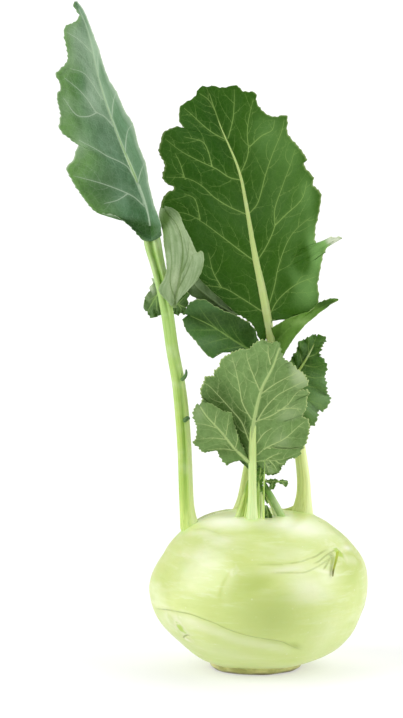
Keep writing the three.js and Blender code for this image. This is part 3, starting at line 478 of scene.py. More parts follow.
        right=[(3.4, 78.4), (5.4, 78.4), (6.2, 77.6), (7, 78), (8, 77.4), (8.6, 78.5), (9.8, 78.5),
            (10.6, 77.8), (11.4, 78), (12.2, 76.6), (13, 76.9), (13.5, 78.2)],
        veins=[[(6.5, 79), (7.3, 78)], [(10.5, 79), (12.3, 77.6)]]),
    "inner_leaf_blade": dict(
        look="leaf_young", slot="young_growth", fan=1, ruffle=(0.9, 3), rows=110, columns=60,
        teeth=(0.5, 0.5), pitch=1, vein_width=0.2,
        rib=[(3.6, 84, 0, 0.6), (7.5, 84.5, -2, 0.4), (10.5, 86, -2, 0.2)],
        left=[(3.6, 86), (5, 90), (9, 90), (11.2, 87)],
        right=[(3.8, 82), (5, 81.5), (8, 81.8), (9.5, 82.5), (10.8, 84)],
        shade_and_light_patches=[(10, 84, 3, 3, 0.6), (6, 88, 3, 3, -0.3)],
        veins=[
            [(6, 84.3), (8, 87.5)], [(6.5, 84.4), (8.5, 82.8)], [(5, 84.2), (6, 88)],
            [(8.6, 85), (10.5, 87)]]),
    "curl_leaf_high": dict(
        look="leaf_crinkled", node="inner_leaf_blade", slot="young_growth", fan=1, ruffle=(1.6, 4),
        rows=80, columns=40, teeth=(0.4, 0.4), pitch=0.9,
        rib=[(0.8, 76, -4.6, 0.4), (1.4, 80, -5.4, 0.35), (2, 84, -6.5, 0.3), (2.2, 88, -8.5, 0.2)],
        left=[(0, 76.5), (-0.1, 79), (0, 82), (-0.2, 85), (0.2, 88)],
        right=[(2, 76), (3, 78.5), (3.3, 81.5), (3.4, 84), (3.8, 85.5), (3, 87.5)],
        shade_and_light_patches=[(1, 81, 2, 4, 0.3), (3, 84, 1.6, 2.5, 0.4)],
        veins=[[(1.8, 80), (3, 82)]]),
    "curl_leaf_low": dict(
        look="leaf_crinkled", node="inner_leaf_blade", slot="young_growth", fan=1, ruffle=(1.2, 2.5),
        rows=50, columns=30, teeth=(0.25, 0.25), pitch=0.8,
        rib=[(1, 72, -3.6, 0.35), (1.6, 74.5, -4.6, 0.3), (1.8, 77, -4.8, 0.2)],
        left=[(0.2, 72.3), (0, 74), (0.2, 75.6), (1, 77.8)],
        right=[(2.6, 71.6), (3.8, 73.2), (3.6, 75.4), (2.6, 77.8)],
        veins=[[(1.8, 74), (2.9, 75)]]),
    "curl_leaf_fleck": dict(
        look="leaf_crinkled", node="inner_leaf_blade", slot="young_growth", fan=1, ruffle=(0.8, 2),
        rows=40, columns=24, teeth=(0.25, 0.25), pitch=0.8,
        rib=[(3, 74.6, -2.6, 0.3), (4.4, 72.3, -2.4, 0.25), (5.3, 70, -2.2, 0.2)],
        left=[(3.8, 75), (5.2, 73), (6.1, 70.6)],
        right=[(2.6, 73.6), (3.6, 71.4), (4.7, 69.4)],
        shade_and_light_patches=[(4.8, 71, 2, 2, 0.3)],
        veins=[[(4.4, 72.3), (5, 71.6)]]),
    # A dark leaf piece in the gap between the stalks, deep all over: painted shade.
    "shaded_gap_leaf": dict(
        look="leaf_young", node="inner_leaf_blade", slot="young_growth", fan=1, ruffle=(0.6, 1.5),
        rows=40, columns=24,
        rib=[(5.2, 59.5, -10, 0.3), (5, 65.5, -9.6, 0.25), (4, 69, -9, 0.2)],
        left=[(3.8, 59.5), (3.6, 65), (3.4, 69)],
        right=[(7.8, 60), (6.6, 65.2), (4.6, 69)],
        shade_and_light_patches=[(4.6, 66, 4, 4, 1)],
        veins=[[(4.4, 65), (5.4, 66)]]),
    "curl_leaf_side": dict(
        look="leaf_young", node="young_leaf_blade", slot="young_growth", fan=1, ruffle=(0.9, 2.5),
        rows=50, columns=30, teeth=(0.3, 0.3), pitch=0.8,
        rib=[(6.2, 78.6, -4.6, 0.3), (6.8, 77.4, -5.4, 0.25), (6.6, 75.6, -5.3, 0.2)],
        left=[(6.6, 79), (8, 78.4), (8.2, 77.2), (7.6, 75.8)],
        right=[(5.8, 78.4), (5.7, 77.4), (5.6, 76.2), (6, 75.4)],
        veins=[[(6.5, 78.3), (7.5, 78)]]),
}
BLADE_DEFAULTS = dict(
    look="leaf_deep_green", slot="leaf_upper", faces=1, lift=(0.25, 0.25), curl=(0, 0), fan=1.5,
    bow=0.06, ruffle=(0.8, 4), thickness=0.42, cover=0.6, teeth=(0.4, 0.4), pitch=2.4, puff=0.6,
    vein_width=0.24, rib_strength=1.1, vein_strength=(1, 0.3, 0.15), creases=(), shade_and_light_patches=(), rib_from=0,
)


# ------------------------------------------------------------------ lines and points

def lay(across, up, back):
    """Layout millimetres to points in metres."""
    height = (up - back * math.sin(LEAN)) / math.cos(LEAN)
    return np.stack([across, back, height], axis=-1) * MM


def unit(rows):
    return rows / np.maximum(np.linalg.norm(rows, axis=-1), 1e-12)[..., None]


def dot(rows, others):
    return np.einsum("ij,ij->i", rows, others)


def directions(line):
    return unit(np.gradient(line, axis=0))


def run_along(line):
    """The length of a line up to each of its points."""
    return np.concatenate([[0], np.cumsum(np.linalg.norm(np.diff(line, axis=0), axis=1))])


def nearest(points, targets):
    """The index of, and the distance to, the nearest target of each point."""
    tree = KDTree(len(targets))
    for index, target in enumerate(targets):
        tree.insert(target, index)
    tree.balance()
    found = [tree.find(point)[1:] for point in points]
    return np.array([f[0] for f in found], int), np.array([f[1] for f in found])


def beside(plane, path, tangent):
    """For points of the flat layout: the path's nearest point, the gap to it, how far to its left they
    lie, and how far past it along the path."""
    index, gap = nearest(plane, np.column_stack([path, np.zeros(len(path))]))
    offset = plane[:, :2] - path[index]
    left = tangent[index, 0] * offset[:, 1] - tangent[index, 1] * offset[:, 0]
    return index, gap, left, np.abs(dot(offset, tangent[index]))


class Route:
    """A smooth line through points, read by the share of its length."""

    STEPS = 24

    def __init__(self, points):
        points = np.array(points, float)
        before = 2 * points[0] - points[1]
        after = 2 * points[-1] - points[-2]
        chain = np.vstack([before, points, after])
        share = np.linspace(0, 1, self.STEPS, endpoint=False)[:, None]
        runs = [self.stretch(chain[i:i + 4], share) for i in range(len(points) - 1)]
        self.line = np.vstack([*runs, points[-1:]])
        self.measure()

    def measure(self):
        steps = np.linalg.norm(np.diff(self.line[:, :3], axis=0), axis=1)
        self.length = steps.sum()
        self.share = np.concatenate([[0], np.cumsum(steps)]) / self.length

    @staticmethod
    def stretch(four, share):
        """The points between the middle two of four, spaced so that sharp turns don't loop."""
        gaps = np.maximum(np.linalg.norm(np.diff(four[:, :3], axis=0), axis=1), 1e-9) ** 0.5
        a, b, c = gaps
        slopes = np.diff(four, axis=0)
        start = (slopes[0] / a - (four[2] - four[0]) / (a + b) + slopes[1] / b) * b
        end = (slopes[1] / b - (four[3] - four[1]) / (b + c) + slopes[2] / c) * b
        square, cube = share ** 2, share ** 3
        return (
            (2 * cube - 3 * square + 1) * four[1]
            + (cube - 2 * square + share) * start
            + (3 * square - 2 * cube) * four[2]
            + (cube - square) * end
        )

    def at(self, share):
        return np.stack([np.interp(share, self.share, column) for column in self.line.T], axis=-1)

    def spaced(self, gap, fewest=2, first=0, last=1):
        """Points about a gap apart."""
        return self.at(np.linspace(first, last, max(fewest, int(self.length / gap))))


# ------------------------------------------------------------------ making meshes

def deselect():
    if bpy.context.object and bpy.context.object.mode != "OBJECT":
        bpy.ops.object.mode_set(mode="OBJECT")
    bpy.ops.object.select_all(action="DESELECT")


def pick(piece):
    deselect()
    piece.select_set(True)
    bpy.context.view_layer.objects.active = piece


def named(name):
    """The primitive that was just added, under its own name."""
    piece = bpy.context.object
    piece.name = name
    piece.data.name = name
    return piece


def apply_modifier(piece, kind, **settings):
    modifier = piece.modifiers.new(kind.title(), kind)
    for key, value in settings.items():
        setattr(modifier, key, value)
    pick(piece)
    bpy.ops.object.modifier_apply(modifier=modifier.name)


def read(piece, field):
    """Each vertex's place ("co") or its "normal"."""
    flat = np.empty(len(piece.data.vertices) * 3, np.float32)
    piece.data.vertices.foreach_get(field, flat)
    return flat.reshape(-1, 3).astype(float)


def move_points(piece, points):
    piece.data.vertices.foreach_set("co", points.astype(np.float32).ravel())
    piece.data.update()


def note(piece, name, values):
    """Keeps a number for each vertex, for the materials."""
    attribute = piece.data.attributes.new(name, "FLOAT", "POINT")
    attribute.data.foreach_set("value", values.astype(np.float32).ravel())


def finish_piece(piece, notes):
    for name, values in notes.items():
        note(piece, name, values)
    pick(piece)
    bpy.ops.object.shade_smooth()
    return piece


# ------------------------------------------------------------------ stalks

STALK_SIDES = 16
RING_GAP = 5
STALK_STEPS = 400

# Fine ridges round a stalk: (height as a share of its radius, count, twist from end to end).
RIDGES = [(0.02, 9, 3), (0.012, 17, 0)]

# Inside this share of the radius a stalk's points aren't pushed in or out.
CORE = 0.5

# How fast a midrib's front becomes flat along the stalk.
FLATTENING = 25


def ring_to(step, scale, turn, axis, centre):
    """Extrudes the selected ring by a step, then scales and turns it about its new centre."""
    bpy.ops.mesh.extrude_region_move(TRANSFORM_OT_translate={"value": step})
    bpy.ops.transform.resize(value=(scale, scale, scale), center_override=centre)
    if turn > 1e-5:
        bpy.ops.transform.rotate(
            value=turn, orient_axis="Z", orient_type="LOCAL", orient_matrix_type="LOCAL",
            orient_matrix=axis.to_track_quat("Z", "Y").to_matrix(),
            constraint_axis=(False, False, True), center_override=centre,
        )


def drawn_stalk(name, route):
    """One ring drawn up through the stations of a stalk, closed at both ends and smoothed."""
    count = max(6, round(route.length / RING_GAP))
    stations = route.at(np.linspace(0, 1, count))
    centres = [Vector(p) for p in lay(*stations.T[:3])]
    radii = stations[:, 3] * MM
    headings = [(centres[min(i + 1, count - 1)] - centres[max(i - 1, 0)]).normalized() for i in range(count)]
    deselect()
    bpy.ops.mesh.primitive_circle_add(
        vertices=STALK_SIDES, radius=radii[0], fill_type="NGON", location=centres[0],
        rotation=headings[0].to_track_quat("Z", "Y").to_euler(),
    )
    piece = named(name)
    pick(piece)
    bpy.ops.object.transform_apply(location=True, rotation=True, scale=True)
    bpy.ops.object.mode_set(mode="EDIT")
    bpy.ops.mesh.select_all(action="SELECT")
    for i in range(1, count):
        axis = headings[i - 1].cross(headings[i])
        turn = headings[i - 1].angle(headings[i])
        ring_to(centres[i] - centres[i - 1], radii[i] / radii[i - 1], turn, axis, centres[i])
    bpy.ops.mesh.select_all(action="SELECT")
    bpy.ops.mesh.normals_make_consistent(inside=False)
    bpy.ops.object.mode_set(mode="OBJECT")
    apply_modifier(piece, "SUBSURF", levels=2, render_levels=2)
    return piece


def stalk(name, form):
    """A tapered stalk with its grooves, its ridges and, along a midrib, its flat front."""
    route = Route(form["points"])
    piece = drawn_stalk(name, route)
    line = route.at(np.linspace(0, 1, STALK_STEPS))
    path = lay(*line.T[:3])
    co = read(piece, "co")
    index, _ = nearest(co, path)
    heading = directions(path)
    side = unit(np.cross(heading, [0, 1, 0]))
    front = np.cross(side, heading)
    front *= -np.sign(front[:, 1])[:, None]
    side *= np.sign(side[:, 0])[:, None]
    side, front = side[index], front[index]
    out = co - path[index]
    aside = dot(out, side) / MM
    ahead = dot(out, front) / MM
    share = index / (len(path) - 1)
    turn = np.degrees(np.arctan2(aside, ahead))
    marks, middles, depths, widths = np.array(form["grooves"]).T
    away = (turn - np.interp(share, marks, middles) + 180) % 360 - 180
    groove = np.interp(share, marks, depths) * np.exp(-(away / np.interp(share, marks, widths)) ** 2)
    ridges = sum(high * np.cos(np.radians(turn) * count + share * twist) for high, count, twist in RIDGES)
    size = line[:, 3][index] * MM
    reach = dot(out, out) ** 0.5
    inward = np.where(reach > CORE * size, (groove - ridges) * size, 0) / np.maximum(reach, 1e-9)
    co = co - (side * (aside * MM)[:, None] + front * (ahead * MM)[:, None]) * inward[:, None]
    flat_from, flat_left = form["flat"]
    pressed = np.clip((share - flat_from) * FLATTENING, 0, 1) * (1 - flat_left) * np.clip(ahead, 0, None) * MM
    move_points(piece, co - front * pressed[:, None])
    return finish_piece(piece, {
        "along": share * route.length, "across": aside, "depth": ahead, "share": share, "groove": groove,
    })


# ------------------------------------------------------------------ blades

# Teeth: their widths and heights as shares, drawn at random, how much of a tooth is its long side, that
# side's curve, how much of it lies inside the margin, and how far from the ends they fade.
TOOTH_WIDTHS = (0.6, 1.5)
TOOTH_HEIGHTS = (0.2, 1.3)
TOOTH_LONG_SIDE = 0.75
TOOTH_CURVE = 1.6
TOOTH_INSIDE = 0.4
TOOTH_FADE = 3
MARGIN_STEP = 0.15

# Finer veins: (half width, tier, gap between them, angle off their parent, reach).
VEINS_OFF_VEINS = (0.15, 2, 4.2, 0.85, 16)
VEINS_OFF_RIB = (0.14, 2, 5, 1.0, 10)
TWIGS = (0.1, 3, 2.6, 1.0, 7)
VEIN_STEP = 0.2
TWIG_STEP = 0.3
MARGIN_GAP = 0.7
TWIG_GAP = 0.35
PARENT_GAP = 0.9
PARENT_END = 0.8
RIB_STEPS = 300
RIB_BARE_STEPS = 40
RIB_END = 0.97
THINNEST_RIB = 0.22
MOST_ROWS_WITHOUT_TWIGS = 80

# The blade's skin swells between its main veins and, less, between all of them: (height, width).
MAIN_SWELL_WIDTH = 5
FINE_SWELL = (0.22, 1.8)

# Raised veins: how far one is felt across and past its end, its narrowest half width, its height over its
# width and its least height, and the shares of it that show below and above the blade.
VEIN_REACH = 0.9
VEIN_PAST = (0.15, 0.3)
NARROWEST_RIDGE = 0.28
RIDGE_HEIGHT = (0.34, 0.2)
RIDGE_BELOW = 0.5
RIDGE_ABOVE = -0.06
CREASE_STEP = 0.3
CREASE_PAST = 6


def leaf_surface(leaf, u, v):
    """Layout points of a blade's middle surface: u from -1 at the left margin to 1, v from the base."""
    side = (u > 0).astype(int)
    out = np.abs(u)
    root = leaf["rib_route"].at(v ** leaf["fan"])
    edges = np.stack([leaf["left_route"].at(v), leaf["right_route"].at(v)])
    edge = np.where(side[..., None] == 0, edges[0], edges[1])
    span = np.hypot(edge[..., 0] - root[..., 0], edge[..., 1] - root[..., 1])
    sag = leaf["bow"] * span * 4 * out * (1 - out) * (1 - v)
    distance = out * span
    clear_of_rib = np.maximum(distance - 0.9 * root[..., 3], 0)
    lift = np.array(leaf["lift"])[side]
    curl = np.array(leaf["curl"])[side]
    rise = clear_of_rib * (lift + curl * distance)
    ruffle_height, ruffles = leaf["ruffle"]
    wave = ruffle_height * out ** 2 * np.sin(v * ruffles * 2 * math.pi + side * 2)
    clear = leaf["cover"] * root[..., 3]
    across = root[..., 0] + (edge[..., 0] - root[..., 0]) * out
    up = root[..., 1] + (edge[..., 1] - root[..., 1]) * out - sag
    back = root[..., 2] - leaf["faces"] * (clear + rise + wave)
    return across, up, back


def toothed(points, outward, pitch, height, rng):
    """A margin with small teeth that lean towards the tip, as a Route."""
    route = Route(points)
    line = route.spaced(MARGIN_STEP, 60)
    run = run_along(line)
    marks = [0.0]
    while marks[-1] < run[-1]:
        marks.append(marks[-1] + pitch * rng.uniform(*TOOTH_WIDTHS))
    marks = np.array(marks)
    sizes = height * rng.uniform(*TOOTH_HEIGHTS, len(marks))
    tooth = np.searchsorted(marks, run, side="right") - 1
    tooth = np.clip(tooth, 0, len(marks) - 2)
    share = (run - marks[tooth]) / (marks[tooth + 1] - marks[tooth])
    long_side = (share / TOOTH_LONG_SIDE) ** TOOTH_CURVE
    short_side = (1 - share) / (1 - TOOTH_LONG_SIDE)
    shape = np.where(share < TOOTH_LONG_SIDE, long_side, short_side) - TOOTH_INSIDE
    tangent = directions(line)
    normal = outward * np.stack([tangent[:, 1], -tangent[:, 0]], axis=-1)
    ends = np.clip(np.minimum(run, run[-1] - run) / TOOTH_FADE, 0, 1)
    route.line = line + normal * (shape * sizes[tooth] * ends)[:, None]
    route.measure()
    return route


def grow_veins(leaf, rng):
    """All the side veins of a blade, on the layout plane: (points, half widths, tier)."""
    rib = leaf["rib_route"]
    margin = np.vstack([leaf["left_route"].line, leaf["right_route"].line])
    lines = []
    for points in leaf["veins"]:
        line = Route(points).spaced(VEIN_STEP, 8)
        lines.append((line, leaf["vein_width"] * (1 - 0.6 * np.linspace(0, 1, len(line))), 1))
    middle = rib.at(np.linspace(0, 1, RIB_STEPS))[:, :2]
    taken = [middle] + [line for line, _, _ in lines]

    def twig(start, heading, bend, reach):
        others = np.vstack(taken)
        far = others[np.linalg.norm(others - start, axis=1) > PARENT_GAP]
        spot = start.copy()
        trail = [spot.copy()]
        for _ in range(int(reach / TWIG_STEP)):
            spot = spot + TWIG_STEP * np.array([math.cos(heading), math.sin(heading)])
            heading += bend + rng.normal(0, 0.05)
            trail.append(spot.copy())
            if np.min(np.linalg.norm(margin - spot, axis=1)) < MARGIN_GAP:
                break
            if len(trail) > 3 and np.min(np.linalg.norm(far - spot, axis=1)) < TWIG_GAP:
                break
        return np.array(trail)

    def branch(parent, width, tier, gap, angle, reach):
        """Side branches of a vein, to its left and its right in turn."""
        run = run_along(parent)
        at = gap * rng.uniform(0.3, 0.8)
        sign = 1 if rng.random() < 0.5 else -1
        while at < run[-1] - PARENT_END:
            start, ahead = (np.array([np.interp(place, run, column) for column in parent.T])
                            for place in (at, at + 0.5))
            heading = math.atan2(*(ahead - start)[::-1]) + sign * angle * rng.uniform(0.8, 1.2)
            trail = twig(start, heading, -sign * rng.uniform(0.01, 0.05), reach)
            if len(trail) > 4:
                lines.append((trail, width * (1 - 0.4 * np.linspace(0, 1, len(trail))), tier))
                taken.append(trail)
            at += gap * rng.uniform(0.6, 1.4)
            sign = -sign

    if leaf["rows"] > MOST_ROWS_WITHOUT_TWIGS:
        for line, _, _ in list(lines):
            branch(line, *VEINS_OFF_VEINS)
        branch(middle[RIB_BARE_STEPS:], *VEINS_OFF_RIB)
        for line in [line for line, _, tier in lines if tier == 2]:
            branch(line, *TWIGS)
    rib_line = rib.spaced(VEIN_STEP, 60, leaf["rib_from"], RIB_END)
    lines.append((rib_line[:, :2], np.maximum(rib_line[:, 3], THINNEST_RIB) * 0.95, 0))
    return lines


def folded(leaf, across, up, back):
    """Bends the blade along its creases: the left of a crease's line goes back by slope."""
    plane = np.column_stack([across.ravel(), up.ravel(), np.zeros(across.size)])
    bent = back.ravel().copy()
    for crease in leaf["creases"]:
        line = Route(crease["line"]).spaced(CREASE_STEP, 20)
        _, _, left, beyond = beside(plane, line, directions(line))
        past = crease["soft"] * np.logaddexp(0, left / crease["soft"])
        past = crease["reach"] * (1 - np.exp(-past / crease["reach"]))
        bent += crease["slope"] * past * np.exp(-(beyond / CREASE_PAST) ** 2)
    return bent.reshape(across.shape)


def vein_fields(leaf, plane, lines):
    """For the main veins and then for the finer ones: (distance left of the nearest, how much it is felt,
    its half width, the gap to it) at each point."""
    width = np.concatenate([w for _, w, _ in lines])
    tier = np.concatenate([np.full(len(line), n) for line, _, n in lines])
    path = np.vstack([line for line, _, _ in lines])
    tangent = np.vstack([directions(line) for line, _, _ in lines])
    fade = np.concatenate([np.linspace(1, 0.5, len(line)) for line, _, _ in lines])
    strength = np.array([leaf["rib_strength"], *leaf["vein_strength"]])[tier] * fade
    main = np.flatnonzero(tier < 2)
    fine = np.flatnonzero(tier > 1)
    fields = []
    for chosen in (main, fine if len(fine) else main):
        index, gap, left, beyond = beside(plane, path[chosen], tangent[chosen])
        index = chosen[index]
        beyond = np.clip(beyond - VEIN_PAST[0], 0, None)
        felt = strength[index] * np.exp(-(gap / VEIN_REACH) ** 2) * np.exp(-(beyond / VEIN_PAST[1]) ** 2)
        fields.append((left, felt, width[index], gap))
    return fields


def spots(plane, shade_and_light_patches):
    """The soft patches of painted shade and painted light of a blade, added up at each point."""
    shade_and_light = np.zeros(len(plane))
    for at_across, at_up, half_across, half_up, strength in shade_and_light_patches:
        reach = ((plane[:, 0] - at_across) / half_across) ** 2 + ((plane[:, 1] - at_up) / half_up) ** 2
        shade_and_light += strength * np.exp(-reach)
    return shade_and_light


def blade(name, leaf, seed):
    """A leaf blade: a grid laid over the leaf's surface, given its thickness and then its veins."""
    rng = np.random.default_rng(seed)
    leaf["rib_route"] = Route(leaf["rib"])
    leaf["left_route"] = toothed(leaf["left"], -1, leaf["pitch"], leaf["teeth"][0], rng)
    leaf["right_route"] = toothed(leaf["right"], 1, leaf["pitch"], leaf["teeth"][1], rng)
    columns, rows = leaf["columns"], leaf["rows"]
    deselect()
    bpy.ops.mesh.primitive_grid_add(x_subdivisions=columns, y_subdivisions=rows, size=2)
    piece = named(name)
    flat = read(piece, "co")
    column = np.rint((flat[:, 0] + 1) / 2 * columns).astype(int)
    row = np.rint((flat[:, 1] + 1) / 2 * rows).astype(int)
    u, v = np.meshgrid(np.linspace(-1, 1, columns + 1), np.linspace(0, 1, rows + 1))
    across, up, back = leaf_surface(leaf, u, v)
    middle = lay(across, up, folded(leaf, across, up, back))
    plane = np.stack([across[row, column], up[row, column], np.zeros(len(row))], axis=-1)

    fields = vein_fields(leaf, plane, grow_veins(leaf, rng))
    main_gap, fine_gap = fields[0][3], np.minimum(fields[0][3], fields[1][3])
    puff = (leaf["puff"] * (1 - np.exp(-(main_gap / MAIN_SWELL_WIDTH) ** 2))
            + FINE_SWELL[0] * (1 - np.exp(-(fine_gap / FINE_SWELL[1]) ** 2)))

    normal = unit(np.cross(np.gradient(middle, axis=1), np.gradient(middle, axis=0)))
    normal = normal[row, column] * (-leaf["faces"] * np.sign(normal[..., 1].mean()))
    inset = np.clip((1 - np.abs(u)) * 14, 0, 1)[row, column]
    tips = np.clip(np.minimum(v, 1 - v) * 40, 0, 1)[row, column]
    sheet = middle[row, column] + normal * (puff * tips * MM)[:, None]
    move_points(piece, sheet)
    spot = piece.data.attributes.new("spot", "INT", "POINT")
    spot.data.foreach_set("value", np.arange(len(sheet), dtype=np.int32))
    apply_modifier(piece, "SOLIDIFY", thickness=leaf["thickness"] * MM, offset=0)
    spot = np.empty(len(piece.data.vertices), np.int32)
    piece.data.attributes["spot"].data.foreach_get("value", spot)
    piece.data.attributes.remove(piece.data.attributes["spot"])

    away = dot(read(piece, "co") - sheet[spot], normal[spot])
    upper = (away > 0).astype(float)
    ridge = sum(felt * np.exp(-(left / np.maximum(half, NARROWEST_RIDGE)) ** 2)
                * (half / RIDGE_HEIGHT[0] + RIDGE_HEIGHT[1]) for left, felt, half, _ in fields)
    ridge = np.where(upper > 0.5, RIDGE_ABOVE, RIDGE_BELOW) * ridge[spot]
    thin = 1 - 0.5 * (1 - inset[spot])
    move_points(piece, sheet[spot] + normal[spot] * (away * thin + np.sign(away) * ridge * MM)[:, None])
    notes = {"upper": upper}
    for label, (left, felt, half, _) in zip(("vein", "twig"), fields):
        notes[label] = np.clip(left / half, -8, 8)[spot]
        notes[label + "_near"] = felt[spot]
    # Patches of painted shade (above 0) and painted light (below 0), for the material.
    notes["shade_and_light"] = np.clip(spots(plane, leaf["shade_and_light_patches"]), -2, 1)[spot]
    # How much the skin swells between the veins; the material darkens it where it dips, as painted shade.
    notes["puff"] = (puff / max(leaf["puff"] + FINE_SWELL[0], 0.1))[spot]
    notes["aside"] = u[row, column][spot]
    notes["along"] = v[row, column][spot]
    return finish_piece(piece, notes)


# ------------------------------------------------------------------ bulb

# Insets of the root face, and how the crown's flat top is drawn in to its middle.
ROOT_INSETS = (0.6, 5, 5)
CROWN_STEPS = (0.7, 0.6, 0.4)
CROWN_DIP = 0.15

# How wide a scar's lip falls away above and below its line, and how far its dark line reaches.
LIP_EDGE = 0.45
LIP_ABOVE = 7
LIP_BELOW = 4.5
SCAR_REACH = 1.6
SCAR_STEP = 0.2

# The skin's rise at the foot of a stalk, as a share of its radius up to a limit, and how far it reaches.
FOOT_RISE = 0.16
FOOT_RADIUS_LIMIT = 3
FOOT_REACH = 1.5

# The bulb's uneven surface: (scale, height).
LUMPS = [(0.06, 0.5), (0.13, 0.22), (0.5, 0.05)]
ROOT_RIM_WOBBLE = 0.045


def bulb_half_widths(height):
    heights, left, right = np.array(BULB_RINGS).T
    return np.interp(height, heights, left), np.interp(height, heights, right)


def front_point(across, up):
    """The point on the bulb's front, in millimetres, that is seen at a place on the layout plane."""
    back = -30.0
    for _ in range(30):
        height = (up - back * math.sin(LEAN)) / math.cos(LEAN)
        left, right = bulb_half_widths(height)
        half = (left + right) / 2
        reach = min(abs(across - (right - left) / 2), half)
        back = 0.5 * back - 0.5 * math.sqrt(half ** 2 - reach ** 2)
    return np.array([across, back, height])


def round_point(turn, height):
    """The point on the bulb, in millimetres, at an angle from the front towards the right."""
    left, right = bulb_half_widths(height)
    half = (left + right) / 2
    turn = math.radians(turn)
    return np.array([(right - left) / 2 + half * math.sin(turn), -half * math.cos(turn), height])


def placed(front_rows, round_rows):
    """The rows of two tables, each with the function that finds its points on the bulb."""
    return [(front_point, row) for row in front_rows] + [(round_point, row) for row in round_rows]


def close_to(co, path, margin):
    """The points inside a box round a path."""
    return np.flatnonzero(np.all((co > path.min(0) - margin) & (co < path.max(0) + margin), axis=1))


def line_field(co, normals, path):
    """Signed distance from a line on the surface, positive towards the crown, its nearness and share."""
    close = close_to(co, path, 22)
    signed = np.full(len(co), 50.0)
    near = np.zeros(len(co))
    along = np.zeros(len(co))
    index, _ = nearest(co[close], path)
    tangent = directions(path)[index]
    offset = co[close] - path[index]
    signed[close] = dot(offset, np.cross(normals[close], tangent))
    share = index / (len(path) - 1)
    fade = np.clip(np.minimum(share / 0.12, (1 - share) / 0.2), 0, 1)
    near[close] = (fade * fade * (3 - 2 * fade)) * np.exp(-(dot(offset, tangent) / 3) ** 2)
    along[close] = share
    return signed, near, along


def patch_reach(co, centre, half, tilt):
    """How far each point is from a mark's centre, as a share of its size."""
    out = co - centre
    upward = np.array([0.0, 0.0, 1.0])
    outward = centre * [1, 1, 0]
    outward /= np.linalg.norm(outward)
    aside = np.cross(upward, outward)
    tilt = math.radians(tilt)
    long = out @ (aside * math.cos(tilt) + upward * math.sin(tilt)) / half[0]
    short = out @ (upward * math.cos(tilt) - aside * math.sin(tilt)) / half[1]
    other_side = out @ outward < -18
    return np.hypot(long, short) + 9 * other_side


def surface_noise(points, scale):
    return np.array([noise.noise(Vector(p * scale)) for p in points])


def level_ring_to(step, grow, centre, height):
    """Extrudes the selected ring by a step, then scales it about the bulb's middle at that height."""
    bpy.ops.mesh.extrude_region_move(TRANSFORM_OT_translate={"value": step})
    bpy.ops.transform.resize(value=(grow, grow, 1), center_override=(centre * MM, 0, height * MM))


def drawn_bulb(name):
    """The root face's rim drawn up through the flank's rings to the crown, then smoothed."""
    deselect()
    bpy.ops.mesh.primitive_circle_add(vertices=BULB_SIDES, radius=ROOT_FACE_RADIUS * MM, fill_type="NGON")
    piece = named(name)
    bpy.ops.object.mode_set(mode="EDIT")
    bpy.ops.mesh.select_mode(type="FACE")
    bpy.ops.mesh.select_all(action="SELECT")
    for inset in ROOT_INSETS:
        bpy.ops.mesh.inset(thickness=inset * MM)
    bpy.ops.mesh.select_all(action="DESELECT")
    bpy.ops.mesh.select_mode(type="EDGE")
    bpy.ops.object.mode_set(mode="OBJECT")
    for edge in piece.data.edges:
        ends = [piece.data.vertices[i].co for i in edge.vertices]
        edge.select = all(end.length > (ROOT_FACE_RADIUS - 0.1) * MM for end in ends)
    bpy.ops.object.mode_set(mode="EDIT")

    height, centre, radius = 0.0, 0.0, ROOT_FACE_RADIUS
    for up, left, right in BULB_RINGS:
        step = Vector(((right - left) / 2 - centre, 0, up - height)) * MM
        centre, height = (right - left) / 2, up
        grow = (left + right) / 2 / radius
        radius = (left + right) / 2
        level_ring_to(step, grow, centre, height)
    for grow in CROWN_STEPS:
        level_ring_to((0, 0, -CROWN_DIP * MM), grow, centre, height)
    bpy.ops.mesh.edge_face_add()
    bpy.ops.mesh.select_all(action="SELECT")
    bpy.ops.mesh.normals_make_consistent(inside=False)
    bpy.ops.object.mode_set(mode="OBJECT")
    apply_modifier(piece, "SUBSURF", levels=3, render_levels=3)
    return piece


